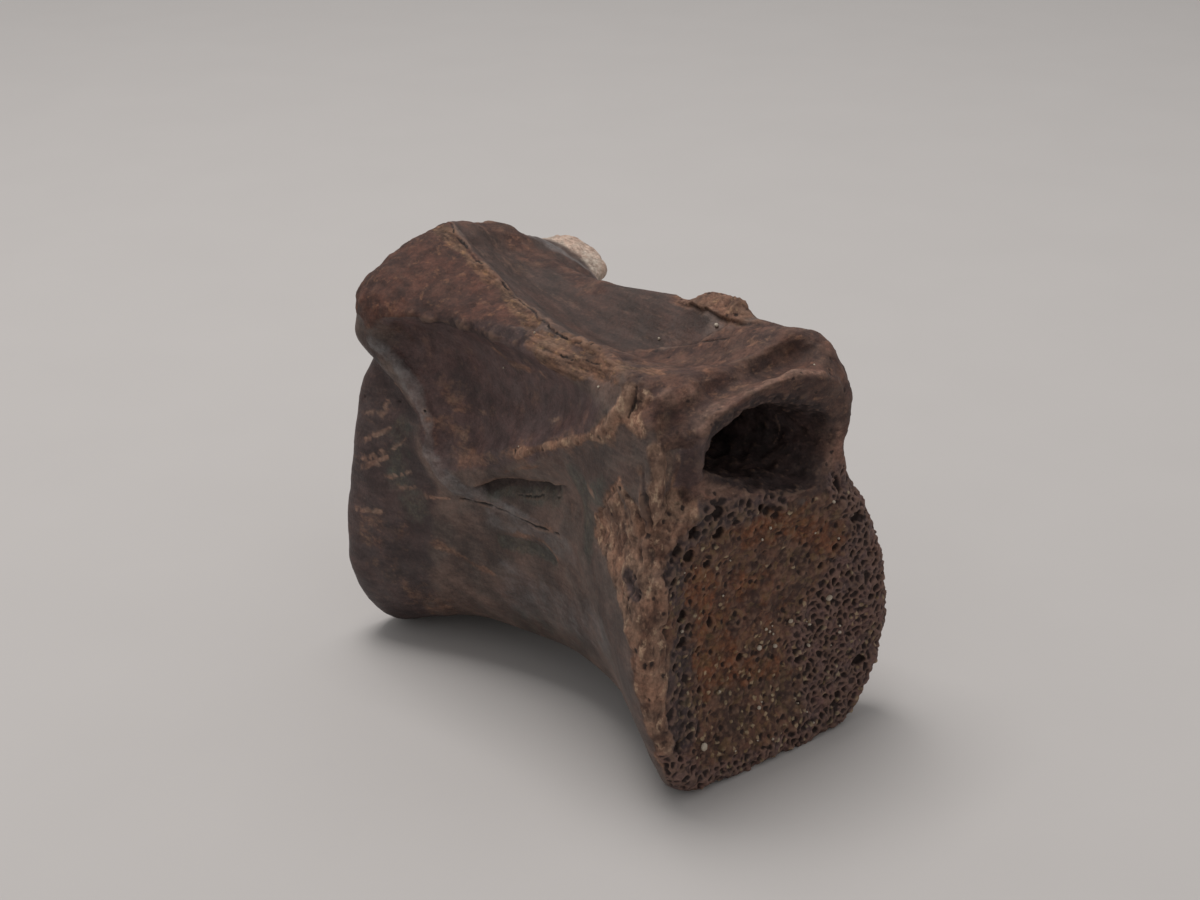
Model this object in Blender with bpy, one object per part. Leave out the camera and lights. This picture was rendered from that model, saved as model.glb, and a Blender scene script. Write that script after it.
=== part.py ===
"""A fossil dinosaur vertebra, modelled as one solid that stands on its two worn rims.

The body axis runs along Y: the worn, spongy end faces -Y and the smooth end faces +Y.
+Z is up, through the neural arch, and X is left and right. Tables are in millimetres.
"""

import bmesh
import bpy
import numpy as np
from mathutils import Vector, noise
from mathutils.kdtree import KDTree

MM = 0.001

# Driving dimensions.
GROUND_Z = 0.0
VOXEL = 1.0
WEAR_PASSES = 4
TRIANGLES = 9000
OUTLINE_POINTS = 72
PORE_DEPTH = 1.6
ARCH_FOOT_RISE = 3.0
ARCH_FOOT_SHARE = 0.6
BONE_COLOUR = (0.075, 0.045, 0.032, 1.0)
BONE_ROUGHNESS = 0.6

# Curve steps in each gap between stations, outline corners, the fossa's rim corners and path points.
STATION_STEPS = 4
OUTLINE_STEPS = 8
RIM_STEPS = 6
PATH_STEPS = 12

# Share of a path's reach whose skin sets the way it is pushed, and how soon skin turned away is let go.
HEADING_SHARE = 0.6
FACING_GAIN = 2.0
# Skin of the worn end: it faces at least this far forward, and lies in front of this y.
END_FACING = 0.6
END_Y = -40.0
ROUGH_OCTAVES = 3
# The block under the bone that cuts its feet flat.
GROUND_SIDE = 200.0
GROUND_DEPTH = 40.0

# Centrum: y, then its left half from the underside up the flank to the roof (x, z).
# Stations with a second list have their own right half; the others are mirrored.
CENTRUM = [
    (-48.0, [(-19, 2.5), (-27, 12), (-31, 25), (-32, 38), (-29.5, 53), (-21, 62), (-8, 62)],
            [(17, 0), (26.5, 5), (31.5, 16), (32.2, 28), (28, 42.5), (19.5, 54), (7, 59)]),
    (-45.0, [(-18.5, 0), (-27, 10.5), (-31.5, 25), (-33, 38), (-30, 54), (-21, 63), (-8, 63)],
            [(18, -0.5), (28, 4.5), (34, 15), (34.3, 29), (30.4, 43.5), (21, 56), (7, 61)]),
    (-40.0, [(-17.5, 1.5), (-25, 10.5), (-30, 24), (-31.5, 38), (-29.5, 53), (-21, 63), (-8, 63)],
            [(18, 1), (27.5, 6), (32.6, 16), (32.8, 30), (29.5, 43.5), (21.5, 57), (7, 62)]),
    (-31.0, [(-14, 5.5), (-21, 12), (-25.5, 24), (-28, 38), (-27, 52), (-21, 62), (-8, 63)], None),
    (-19.0, [(-11, 7.5), (-17, 14), (-21, 25), (-23, 38), (-24, 51), (-20, 61), (-8, 62)], None),
    (-3.0, [(-9, 8), (-15, 14), (-18.5, 25), (-20.5, 38), (-22, 51), (-19, 60), (-8, 61)], None),
    (13.0, [(-10, 7), (-17, 13), (-21.5, 24), (-23.5, 37), (-24, 51), (-20, 60), (-8, 61)], None),
    (27.0, [(-12, 5.5), (-21.5, 11.5), (-27, 22), (-28, 37), (-27.5, 51), (-22, 61), (-8, 63)], None),
    (38.0, [(-16, 2.6), (-28.5, 9), (-33, 21), (-32.5, 36), (-30, 54), (-24, 64.5), (-8, 66)], None),
    (46.0, [(-19, -0.4), (-31, 7), (-35.8, 20), (-34.2, 36), (-31.5, 55), (-24.5, 66.5), (-8, 68)],
            None),
    (50.0, [(-18, 1), (-29.5, 8.5), (-34.2, 21), (-33, 36), (-29.5, 54.5), (-23, 65), (-8, 66.5)],
            None),
]
# How far each end face is dished: share of the rim's size, then depth.
FRONT_DISH = [(0.95, -0.3), (0.86, 0.1), (0.7, 1.1), (0.5, 2.0), (0.25, 2.5)]
REAR_DISH = [(0.94, 0.2), (0.82, 1.6), (0.62, 4.0), (0.4, 5.6), (0.18, 6.3)]

# Neural arch: y, then its outline (x, z) from the left foot over the roof to the right foot.
ARCH = [
    (-45.5, [(-25, 54), (-27, 61), (-26, 70), (-21, 78), (-16, 80), (-8, 80.5), (2, 80.5), (12, 79),
             (18, 75), (22, 69), (20, 63), (22.5, 54)]),
    (-42.0, [(-26.5, 52), (-28.5, 61), (-28, 73), (-24, 81.5), (-18, 83.5), (-9, 83.5), (2, 83.5),
             (13, 83), (20, 79.5), (26, 71), (22.5, 63), (24, 52)]),
    (-37.0, [(-26.5, 50), (-28.5, 60), (-28, 75), (-25.5, 84), (-20, 85), (-11, 84.5), (2, 84),
             (14, 85.5), (21, 83), (26.5, 74), (23.5, 63), (24.5, 50)]),
    (-29.0, [(-24, 48), (-27, 58), (-27.5, 74), (-25, 84), (-20, 85), (-10, 82.5), (2, 82), (12, 85),
             (19, 83), (25, 74), (23, 61), (23, 48)]),
    (-20.0, [(-21, 46), (-25, 58), (-26, 74), (-24, 83), (-19, 85), (-9, 81.5), (0, 80.5), (11, 85),
             (17, 82.5), (22, 74), (21, 60), (21, 46)]),
    (-8.0, [(-19, 46), (-23.5, 57), (-26, 73), (-25, 81.5), (-19, 84.5), (-8, 80.5), (-1, 79.5),
            (10, 85.3), (15, 82.5), (21, 74), (21, 58), (19, 46)]),
    (6.0, [(-19, 44), (-24, 56), (-28, 74), (-27, 80), (-17, 84.5), (-8, 81), (-2, 80), (8, 83.8),
           (14, 81), (21, 73), (22, 57), (19, 44)]),
    (20.0, [(-23, 46), (-27, 58), (-29, 72), (-28.5, 79), (-20, 84), (-12, 86), (-3, 82), (7, 82.6),
            (14, 79), (22, 71), (25, 58), (23, 46)]),
    (29.0, [(-26, 47), (-27, 59), (-29.5, 72), (-30, 79), (-20.5, 85), (-10, 87.3), (-1, 84), (7, 82.5),
            (15, 79), (23, 73), (26, 60), (26, 47)]),
    (36.0, [(-27, 48), (-27, 60), (-30, 71), (-31.5, 79.5), (-22, 86), (-9, 88.8), (1, 86.5), (9, 82.5),
            (18, 80.5), (27, 76), (27, 62), (27, 48)]),
    (43.0, [(-27, 55), (-27, 63), (-30, 71), (-32.3, 79.5), (-23.5, 87), (-8, 90.8), (4, 89), (11, 83.5),
            (20, 82), (29, 78), (26.5, 64), (27, 55)]),
    (49.0, [(-23.5, 65), (-24.5, 68), (-27.5, 72), (-29.8, 79.5), (-21.5, 86), (-7, 90), (4, 88),
            (11, 82.5), (20, 80.5), (27, 77), (24.5, 68), (23.5, 65)]),
]
ARCH_REAR_DISH = [(0.92, 0.3), (0.78, 1.6), (0.55, 3.2), (0.3, 3.6)]

# Neural canal: y, then its outline (x, z) from the left corner over the roof and back along the floor.
CANAL = [
    (-60.0, [(-23, 71), (-21, 77), (-13, 81), (-3, 82), (7, 81), (15, 77), (22, 71), (22, 65),
             (17, 59), (5, 57), (-5, 60), (-16, 67)]),
    (-46.0, [(-18, 69), (-15.5, 74), (-10, 77), (-3, 78), (4, 77), (11, 74), (17, 69), (18, 64.5),
             (13, 60), (5, 58.5), (-3, 61), (-12, 66)]),
    (-38.0, [(-14, 67), (-12, 71), (-8, 74), (-2, 75), (4, 74), (10, 72), (13.5, 68), (14, 64),
             (10, 60.5), (4, 59.5), (-3, 60.5), (-10, 63)]),
    (-22.0, [(-9.5, 66), (-8.5, 69), (-6, 71.5), (-1, 72.5), (4, 71.5), (7.5, 69), (8.5, 66),
             (7.5, 62.5), (4, 60.5), (0, 60), (-4, 60.5), (-8.5, 62.5)]),
    (22.0, [(-9.5, 67), (-8.5, 70), (-6, 72.5), (0, 73.5), (6, 72.5), (8.5, 70), (9.5, 67),
            (8.5, 63.5), (5, 61.5), (0, 61), (-5, 61.5), (-8.5, 63.5)]),
    (62.0, [(-15, 70), (-13, 76), (-8, 80), (0, 81.5), (8, 80), (13, 76), (15, 70), (13, 66), (8, 64),
            (0, 63.5), (-8, 64), (-13, 66)]),
]

# Side fossa: its rim (y, z) on the left flank, its centre, and the bowl's (x, share of the rim).
FOSSA_RIM = [
    (38, 70), (35, 75.5), (27, 79.5), (18, 81.5), (7, 83), (-7, 83.5), (-20, 83), (-30, 80),
    (-24, 71), (-11, 62.5), (3, 55), (14, 49), (20, 46.5), (25.5, 51), (27, 56.5), (32, 63),
]
FOSSA_CENTRE = (12, 68)
FOSSA_BOWL = [(-46, 1.5), (-31, 1.1), (-28, 1.0), (-25.8, 0.9), (-23.2, 0.72), (-21.3, 0.5), (-20.3, 0.25)]
# The right flank stands this much nearer the middle, and its bowl with it.
FOSSA_RIGHT_SHIFT = 3.5

# Relief worked into the skin: name, reach and rise (mm), whether both flanks have it, path.
# A rise above zero is a ridge, below zero a groove or a hollow.
RELIEF = [
    ("roof ridge", 3.2, 1.1, False,
     [(-7, 48, 89), (-12, 24, 87), (-16, 8, 85), (-19, -8, 84), (-21, -22, 85), (-25, -34, 84)]),
    ("roof trough", 13.0, -1.6, False,
     [(-1, 34, 86), (-3, 16, 82), (-4, 0, 80), (-4, -16, 80), (-2, -28, 82)]),
    ("roof crack", 1.8, -1.0, False,
     [(-6, 47, 89.5), (-9, 30, 87.5), (-12.5, 14, 85), (-15.5, 0, 84), (-17, -12, 84)]),
    ("front roof step", 2.2, -0.6, False, [(-18, -24, 84), (-9, -31, 83), (3, -34, 83), (11, -35, 85)]),
    ("rear crest", 4.4, 1.8, True,
     [(-30, 46, 71), (-29, 39, 67), (-28, 33, 62), (-27.5, 29.5, 56), (-27.5, 27, 50), (-26.5, 20, 44.5)]),
    ("front buttress", 6.0, 0.9, True,
     [(-24.5, 15, 48), (-23.5, 5, 53), (-23.5, -8, 61), (-25.5, -20, 70), (-27, -30, 78),
      (-25.5, -34, 84)]),
    ("flank hollow", 8.0, -1.5, True, [(-23.5, 8, 47.5), (-22.5, -3, 50), (-22.8, -14, 53)]),
    ("flank slit", 2.0, -1.2, False, [(-23.6, 11, 47.6), (-22.8, 2, 50.6)]),
    ("canal lip", 3.6, 1.3, False,
     [(-19.5, -45.5, 69), (-18, -45.5, 76), (-10, -45, 80), (0, -44.5, 80.5), (9, -44, 79.5),
      (16, -43.5, 76)]),
    ("lip groove", 4.6, -2.2, False,
     [(-22, -43.5, 79), (-13, -43, 82), (-3, -42, 83.5), (7, -40.5, 84), (13, -41.5, 83)]),
    ("brow hollow", 4.8, -1.3, False, [(6, -39, 84), (14, -40, 84)]),
    ("pedicle strip", 2.6, 1.2, False,
     [(-27, -41, 79), (-27, -43.5, 74), (-27.5, -44.5, 67), (-28, -45, 61)]),
    ("pedicle hollow", 5.0, -1.6, False, [(-22.5, -45, 75), (-23, -45.5, 66)]),
    ("rear rim crack", 1.6, -1.0, False,
     [(-31, 47, 56), (-29, 42, 57.5), (-27.5, 34, 58), (-27.5, 30, 57)]),
    ("rear canal lip", 4.0, 1.2, False,
     [(-12, 47, 66), (-11.5, 47, 74), (0, 47, 80), (11.5, 47, 74), (12, 47, 66)]),
    ("spine scar", 6.0, -1.5, False, [(2, 47, 86), (2, 38, 87)]),
    ("belly groove", 5.0, -1.2, False, [(0, -34, 5), (0, 0, 7), (0, 34, 3)]),
]
# Lumps pushed straight up: name, reach, rise, centre.
LUMPS = [
    ("crumbling lump", 8.0, 3.8, (12.5, -17, 84)),
    ("crumbling lump end", 4.2, 2.6, (13.5, -22, 85)),
]
# Open pores of the worn end that are wide enough to see: (x, z) on the face and radius.
PORES = [
    (-15, 60.3, 2.1), (-14.4, 55.4, 2.0), (-21.3, 58.2, 2.1), (-21.3, 53, 2.2), (-26, 55.3, 2.0),
    (-3, 57.6, 2.2), (-22.3, 40.3, 2.0), (-22.6, 34.8, 2.0), (18, 55.5, 2.0), (22.6, 47.6, 2.0),
    (26, 13.6, 2.0), (-24.2, 13.2, 2.0),
]
# Rough ground: name, reach, height, grain size, path.
ROUGH = [
    ("rear facet", 15.0, 0.6, 5.0, [(-21, 40, 85), (-23, 26, 82), (-22, 12, 82)]),
    ("front rim", 8.0, 0.55, 4.2,
     [(-29, -38, 55), (-32, -42, 40), (-31, -44, 24), (-25, -44, 8), (0, -45, 0), (28, -44, 3),
      (34, -44, 20), (33, -44, 40), (26, -43, 54)]),
    ("arch front", 9.0, 0.5, 4.6,
     [(-20, -30, 84), (-5, -36, 84), (12, -38, 85), (22, -40, 79), (26, -41, 70), (26, -42, 56)]),
    ("near pedicle", 8.0, 0.5, 4.4, [(-26, -36, 82), (-28, -41, 72), (-28, -43, 60)]),
    ("far process", 9.0, 0.9, 3.6, [(24, 42, 80), (25, 36, 78)]),
    ("worn end", 30.0, 0.5, 7.0, [(0, -46, 36)]),
    ("rear rim", 7.0, 0.5, 5.0, [(-34, 47, 20), (-33, 47, 40), (0, 48, 0), (33, 47, 40), (34, 47, 20)]),
]


def clear_scene():
    for obj in list(bpy.data.objects):
        bpy.data.objects.remove(obj)


def catmull_rom(points, closed, samples):
    """Smooth curve through the points, with this many samples in each gap."""
    points = np.asarray(points, float)
    count = len(points)
    gaps = count if closed else count - 1
    found = []
    for gap in range(gaps):
        if closed:
            near = [points[(gap + step) % count] for step in (-1, 0, 1, 2)]
        else:
            near = [points[min(max(gap + step, 0), count - 1)] for step in (-1, 0, 1, 2)]
        before, start, end, after = near
        for step in range(samples):
            t = step / samples
            found.append(
                0.5
                * (
                    2 * start
                    + (end - before) * t
                    + (2 * before - 5 * start + 4 * end - after) * t**2
                    + (3 * start - before - 3 * end + after) * t**3
                )
            )
    if not closed:
        found.append(points[-1])
    return np.array(found)


def resampled(ring, count):
    """The same closed outline with evenly spaced points."""
    closed = np.vstack([ring, ring[:1]])
    steps = np.linalg.norm(np.diff(closed, axis=0), axis=1)
    along = np.concatenate([[0], np.cumsum(steps)])
    wanted = np.linspace(0, along[-1], count, endpoint=False)
    return np.stack([np.interp(wanted, along, closed[:, axis]) for axis in range(3)], axis=1)


def rings_through(stations):
    """Evenly spaced rings through the stations' closed outlines of points (x, y, z)."""
    grid = np.array(stations, float)
    lines = [catmull_rom(grid[:, i], False, STATION_STEPS) for i in range(grid.shape[1])]
    dense = np.stack(lines, axis=1)
    return [resampled(catmull_rom(row, True, OUTLINE_STEPS), OUTLINE_POINTS) for row in dense]


def dished(ring, steps, inward):
    """Shrinking copies of a ring that sink into its end face."""
    middle = ring.mean(axis=0)
    found = []
    for share, depth in steps:
        step = middle + (ring - middle) * share
        step[:, 1] += inward * depth
        found.append(step)
    return found


def loft(name, rings):
    """A closed solid through rings of equal point count, closed by a fan at each end."""
    mesh = bmesh.new()
    rows = [[mesh.verts.new(Vector(point) * MM) for point in ring] for ring in rings]
    count = len(rings[0])
    for lower, upper in zip(rows, rows[1:]):
        for i in range(count):
            j = (i + 1) % count
            mesh.faces.new((lower[i], lower[j], upper[j], upper[i]))
    for row in (rows[0], rows[-1]):
        centre = mesh.verts.new(sum((vert.co for vert in row), Vector()) / count)
        for i in range(count):
            mesh.faces.new((row[i], row[(i + 1) % count], centre))
    bmesh.ops.recalc_face_normals(mesh, faces=mesh.faces)
    return added(name, mesh)


def added(name, mesh):
    """An object in the scene that holds the mesh."""
    data = bpy.data.meshes.new(name)
    mesh.to_mesh(data)
    mesh.free()
    obj = bpy.data.objects.new(name, data)
    bpy.context.scene.collection.objects.link(obj)
    return obj


def make_centrum():
    stations = []
    for y, left, right in CENTRUM:
        right = right or [(-x, z) for x, z in left]
        stations.append([(x, y, z) for x, z in left + right[::-1]])
    rings = rings_through(stations)
    front = dished(rings[0], FRONT_DISH, 1)[::-1]
    rear = dished(rings[-1], REAR_DISH, -1)
    return loft("centrum", front + rings + rear)


def make_arch():
    """The arch, with each outline closed by a narrower foot inside the centrum."""
    stations = []
    for y, outline in ARCH:
        (left, left_z), (right, right_z) = outline[0], outline[-1]
        foot = [(right * ARCH_FOOT_SHARE, right_z - ARCH_FOOT_RISE),
                (left * ARCH_FOOT_SHARE, left_z - ARCH_FOOT_RISE)]
        stations.append([(x, y, z) for x, z in outline + foot])
    rings = rings_through(stations)
    return loft("arch", rings + dished(rings[-1], ARCH_REAR_DISH, -1))


def make_canal():
    stations = [[(x, y, z) for x, z in outline] for y, outline in CANAL]
    return loft("canal", rings_through(stations))


def make_fossa(name, side, shift):
    """A bowl sunk into one flank, shifted inwards; side is 1 for the left flank and -1 for the right."""
    rim = catmull_rom(FOSSA_RIM, True, RIM_STEPS)
    middle = np.array(FOSSA_CENTRE, float)
    rings = []
    for x, share in FOSSA_BOWL:
        outline = middle + (rim - middle) * share
        rings.append(np.column_stack([np.full(len(rim), (x + shift) * side), outline]))
    return loft(name, rings)


def combine(body, other, operation):
    modifier = body.modifiers.new(other.name, "BOOLEAN")
    modifier.operation = operation
    modifier.object = other
    modifier.solver = "EXACT"


def evaluated_mesh(obj, name):
    graph = bpy.context.evaluated_depsgraph_get()
    mesh = bpy.data.meshes.new_from_object(obj.evaluated_get(graph), depsgraph=graph)
    mesh.name = name
    return mesh


def block_out():
    """The main forms, joined and cut, then remeshed and rounded as one skin."""
    body = make_centrum()
    combine(body, make_arch(), "UNION")
    combine(body, make_canal(), "DIFFERENCE")
    combine(body, make_fossa("left fossa", 1, 0.0), "DIFFERENCE")
    combine(body, make_fossa("right fossa", -1, FOSSA_RIGHT_SHIFT), "DIFFERENCE")
    remesh = body.modifiers.new("one skin", "REMESH")
    remesh.mode = "VOXEL"
    remesh.voxel_size = VOXEL * MM
    smooth = body.modifiers.new("wear", "SMOOTH")
    smooth.factor = 0.5
    smooth.iterations = WEAR_PASSES
    return evaluated_mesh(body, "vertebra")


def falloff(distance, reach):
    """1 on the path, easing to 0 at its reach."""
    near = np.clip(1 - (distance / reach) ** 2, 0, 1)
    return near * near


def path_push(points, normals, tree, path, reach):
    """Each point's share of the path as a vector along the skin's outward direction on the path.

    Skin that faces the other way is left out.
    """
    steps = catmull_rom(path, False, PATH_STEPS) if len(path) > 1 else np.array(path, float)
    push = np.zeros_like(points)
    weight = np.zeros(len(points))
    for step in steps:
        centre = tree.find(Vector(step) * MM)[0]
        around = [index for _, index, _ in tree.find_range(centre, reach * HEADING_SHARE * MM)]
        outward = normals[around].mean(axis=0)
        outward /= np.linalg.norm(outward)
        for _, index, distance in tree.find_range(centre, reach * MM):
            facing = max(0.0, float(normals[index] @ outward))
            share = falloff(distance / MM, reach) * min(1.0, facing * FACING_GAIN)
            if share > weight[index]:
                weight[index] = share
                push[index] = outward * share
    return push


def sculpt(mesh):
    """Ridges, grooves, lumps, pores and rough ground, worked into the joined skin."""
    count = len(mesh.vertices)
    points = np.empty(count * 3)
    mesh.vertices.foreach_get("co", points)
    points = points.reshape(-1, 3) / MM
    normals = np.empty(count * 3)
    mesh.vertex_normals.foreach_get("vector", normals)
    normals = normals.reshape(-1, 3)
    tree = KDTree(count)
    for index, point in enumerate(points):
        tree.insert(Vector(point) * MM, index)
    tree.balance()
    moved = points.copy()

    for _, reach, rise, both, path in RELIEF:
        sides = [path, [(-x, y, z) for x, y, z in path]] if both else [path]
        for side in sides:
            moved += path_push(points, normals, tree, side, reach) * rise
    for _, reach, rise, centre in LUMPS:
        weight = falloff(np.linalg.norm(points - centre, axis=1), reach)
        moved[:, 2] += weight * rise
    for _, reach, height, grain, path in ROUGH:
        weight = np.linalg.norm(path_push(points, normals, tree, path, reach), axis=1)
        for index in np.nonzero(weight)[0]:
            bump = noise.fractal(Vector(points[index]) / grain, 1.0, 2.0, ROUGH_OCTAVES)
            moved[index] += normals[index] * (bump * height * weight[index])
    worn_end = (normals[:, 1] < -END_FACING) & (points[:, 1] < END_Y)
    for x, z, radius in PORES:
        distance = np.hypot(points[:, 0] - x, points[:, 2] - z)
        moved[:, 1] += PORE_DEPTH * falloff(distance, radius) * worn_end
    mesh.vertices.foreach_set("co", (moved * MM).ravel())
    mesh.update()


def make_ground():
    """A block under the bone; cutting with it leaves the two worn feet it rests on."""
    mesh = bmesh.new()
    bmesh.ops.create_cube(mesh, size=1.0)
    for vert in mesh.verts:
        z = (vert.co.z - 0.5) * GROUND_DEPTH + GROUND_Z
        vert.co = Vector((vert.co.x * GROUND_SIDE, vert.co.y * GROUND_SIDE, z)) * MM
    return added("ground", mesh)


def faceted(body):
    """The skin brought down to broad facets, its feet cut flat, triangles only."""
    decimate = body.modifiers.new("facets", "DECIMATE")
    decimate.ratio = TRIANGLES / (2 * len(body.data.polygons))
    decimate.use_collapse_triangulate = True
    combine(body, make_ground(), "DIFFERENCE")
    body.modifiers.new("triangles", "TRIANGULATE")
    return evaluated_mesh(body, "vertebra")


def centre_on_floor(mesh):
    """Moves the mesh so that the origin is in the middle of its bounding box's floor."""
    points = np.empty(len(mesh.vertices) * 3)
    mesh.vertices.foreach_get("co", points)
    points = points.reshape(-1, 3)
    low, high = points.min(axis=0), points.max(axis=0)
    middle = (low + high) / 2
    middle[2] = low[2]
    mesh.vertices.foreach_set("co", (points - middle).ravel())
    mesh.update()


def bone_material():
    bone = bpy.data.materials.new("fossil_bone")
    bone.use_nodes = True
    shader = bone.node_tree.nodes["Principled BSDF"]
    shader.inputs["Base Color"].default_value = BONE_COLOUR
    shader.inputs["Roughness"].default_value = BONE_ROUGHNESS
    return bone


def main():
    clear_scene()
    skin = block_out()
    sculpt(skin)
    body = bpy.data.objects.new("body", skin)
    bpy.context.scene.collection.objects.link(body)
    mesh = faceted(body)
    centre_on_floor(mesh)
    clear_scene()
    mesh.materials.clear()
    mesh.materials.append(bone_material())
    vertebra = bpy.data.objects.new("vertebra", mesh)
    bpy.context.scene.collection.objects.link(vertebra)


main()
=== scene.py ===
"""Looks of a fossil dinosaur vertebra: worn, mineral-stained bone standing on a pale studio floor.

The frame gives the bone's solid. Its skin is made fine here, worked with cracks, pores, flakes and
fibres, stained area by area, and shown in place of the solid. Points on the bone are in millimetres
in the frame's own axes: -Y is the worn spongy end, +Y the smooth end, +Z up, -X the near flank.
"""

import logging
import math
from dataclasses import dataclass
from enum import Enum

import bmesh
import bpy
import numpy as np
from mathutils import Matrix, Vector
from mathutils.bvhtree import BVHTree


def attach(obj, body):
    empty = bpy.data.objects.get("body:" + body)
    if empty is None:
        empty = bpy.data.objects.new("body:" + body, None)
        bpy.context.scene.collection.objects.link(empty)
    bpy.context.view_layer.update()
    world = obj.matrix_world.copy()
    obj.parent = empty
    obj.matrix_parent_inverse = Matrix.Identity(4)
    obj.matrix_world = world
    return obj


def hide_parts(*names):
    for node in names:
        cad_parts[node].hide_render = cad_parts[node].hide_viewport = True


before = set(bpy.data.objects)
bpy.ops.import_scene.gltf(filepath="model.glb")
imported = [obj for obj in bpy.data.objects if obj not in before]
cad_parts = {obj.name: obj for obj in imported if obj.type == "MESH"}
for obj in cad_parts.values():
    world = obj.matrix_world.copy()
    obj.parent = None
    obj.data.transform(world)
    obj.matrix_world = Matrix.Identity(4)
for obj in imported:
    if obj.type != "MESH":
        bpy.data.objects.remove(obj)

LOG = logging.getLogger("fossil_vertebra")
MM = 0.001
NODE = "vertebra"
BODY = "root"

Point = tuple[float, float, float]
Pair = tuple[float, float]
Path = tuple[Point, ...]
Array = np.ndarray
Socket = bpy.types.NodeSocket

# The numbered sockets of Blender's Mix node, which has one set for plain values and one for colours.
MIX_SHARE, MIX_COLOUR_OUT = 0, 2
MIX_VALUE_A, MIX_VALUE_B = 2, 3
MIX_COLOUR_A, MIX_COLOUR_B = 6, 7


class Area(Enum):
    """Kinds of ground on the bone, each kept as a mask on its skin."""

    TROUGH = "smooth_trough"
    PLUM = "plum_hollow"
    # Polished crest and flanks, lightened grey with a painted sheen.
    PAINTED_SHEEN = "polished_crest_painted_sheen"
    MOSS = "olive_stain"
    REAR = "rear_flank"
    STREAK = "tan_streak"
    DASH = "tan_dash"
    BROW = "roof_front"
    LIP = "canal_lip"
    FACET = "rusty_facet"
    FLAKE = "flaking_ridge"
    STRIP = "upright_fibre"
    LUMP = "crumbling_lump"
    SPONGE = "spongy_end"
    OCHRE = "ochre_crust"
    COARSE = "coarse_pores"
    NETWORK = "open_network"
    IVORY = "fresh_break"
    # Painted shade: inside the canal and in hollows, slits and gaps.
    PAINTED_SHADE = "painted_shade_in_hollows"


class Mark(Enum):
    """What carving and wear leave behind, kept as masks too."""

    # Brings out painted shade in the pits.
    PIT = "pit_depth"
    # Brings out painted shade in the cracks.
    CRACK = "crack_line"
    GRAIN = "pale_grain"
    # Brings out wear and a painted highlight on raised edges.
    RAISED = "raised_edge"
    # Brings out painted shade in sunk hollows.
    SUNK = "sunk_hollow"


class Plane(Enum):
    """The two axes in which a patch's outline is drawn, and the axis it is seen along."""

    TOP = (0, 1, 2)
    SIDE = (1, 2, 0)
    END = (0, 2, 1)


@dataclass(frozen=True)
class Stroke:
    """A band that follows a path over the skin.

    reach is its half width in mm, ragged the share of it that noise takes and gives at the edge,
    and hollow keeps only skin that faces the path, as the wall of a passage does.
    """

    path: Path
    reach: float
    strength: float = 1.0
    ragged: float = 0.5
    hollow: bool = False


@dataclass(frozen=True)
class Patch:
    """Ground inside an outline, seen along one axis.

    facing is the direction in which the skin has to face, and span the range along the third axis.
    """

    outline: tuple[Pair, ...]
    plane: Plane
    facing: Point
    span: Pair = (-100.0, 100.0)
    strength: float = 1.0
    soft: float = 3.0
    ragged: float = 2.0


@dataclass(frozen=True)
class Crack:
    """A narrow open split: its path, half width and depth in mm."""

    path: Path
    width: float
    depth: float
    wander: float = 0.5


@dataclass(frozen=True)
class Step:
    """An edge where one side of a path stands higher, easing away over the reach in mm.

    high points to the side that stands higher.
    """

    path: Path
    high: Point
    rise: float
    reach: float
    wander: float = 0.8


@dataclass(frozen=True)
class Fold:
    """A soft ridge, or a groove where the rise is below zero: path, half width and rise in mm."""

    path: Path
    reach: float
    rise: float


class Kind(Enum):
    """How a texture shapes the skin."""

    BUMP = "rounded bumps"
    FIBRE = "sharp-backed fibres"
    LAYER = "broken layers"
    PIT = "scattered pits"
    CRUMB = "packed crumbs"
    CELL = "open cells with thin walls"


@dataclass(frozen=True)
class Texture:
    """Relief worked into one area, or everywhere where the area is None.

    size and height are in mm, stretch lengthens it along x, y and z, and closed is the share of
    the pits or cells that stay shut.
    """

    area: Area | None
    kind: Kind
    size: float
    height: float
    stretch: Point = (1.0, 1.0, 1.0)
    closed: float = 0.5


# Named paths and outlines on the bone.
ROOF_CRACK = (
    (-6.5, 47.5, 91), (-8.3, 42.9, 91.2), (-9.9, 38.9, 90.3), (-11.4, 31.7, 88.4), (-13, 22.1, 86.9),
    (-13.9, 15.2, 85.4), (-17, 4.6, 85.3), (-19.6, -4.1, 85), (-20.9, -11.5, 85.2), (-21.4, -17, 85.6),
)
CREST = (
    (-31, 39.7, 71.4), (-28.8, 35.7, 68.5), (-28.1, 31, 64), (-28, 27.6, 59.6), (-27.8, 25.8, 55.8),
    (-28.8, 25.1, 51.4), (-28.5, 21.6, 47.6), (-27.9, 18.8, 45.3), (-25.7, 16.1, 43.8),
    (-23.6, 11.4, 43.6), (-22, 4.3, 42.7), (-21.4, -2.1, 41.7),
)
CORNER_RIDGE = (
    (-24.9, 0.2, 57.9), (-26, -11.9, 64.2), (-27, -20.8, 68.7), (-28.1, -28.5, 72.8), (-28, -33.9, 77.3),
    (-26.9, -37.1, 82.3),
)
CANAL_LIP = (
    (-18.2, -46.4, 77.4), (-13.8, -45.8, 80), (-9.4, -45, 80.9), (-4.7, -45, 81.3), (1.2, -45.3, 81.6),
    (7, -45.4, 81.4), (12.6, -45.2, 79.6),
)
CANAL_MOUTH = (
    (-15.8, -46.6, 70), (-15.4, -47, 74), (-13.8, -47.2, 76.8), (-11, -47, 78.3), (-6, -46.6, 78.4),
    (1, -45.8, 77.6), (7, -45, 76.2), (12, -44.4, 73),
)
LIP_GROOVE = (
    (-14, -42.6, 81.2), (-10.9, -42.2, 81.6), (-5.2, -41.4, 81.8), (1.4, -40.6, 81.8), (8.6, -39.4, 81.6),
    (13.6, -39.3, 82.4),
)
FLANK_SLIT = (
    (-23.2, 11, 46.6), (-22.4, 8, 47.6), (-21.2, 5, 48.6), (-20.6, 1, 49.8), (-20.8, -3, 51),
    (-21.2, -7, 52.4),
)
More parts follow.
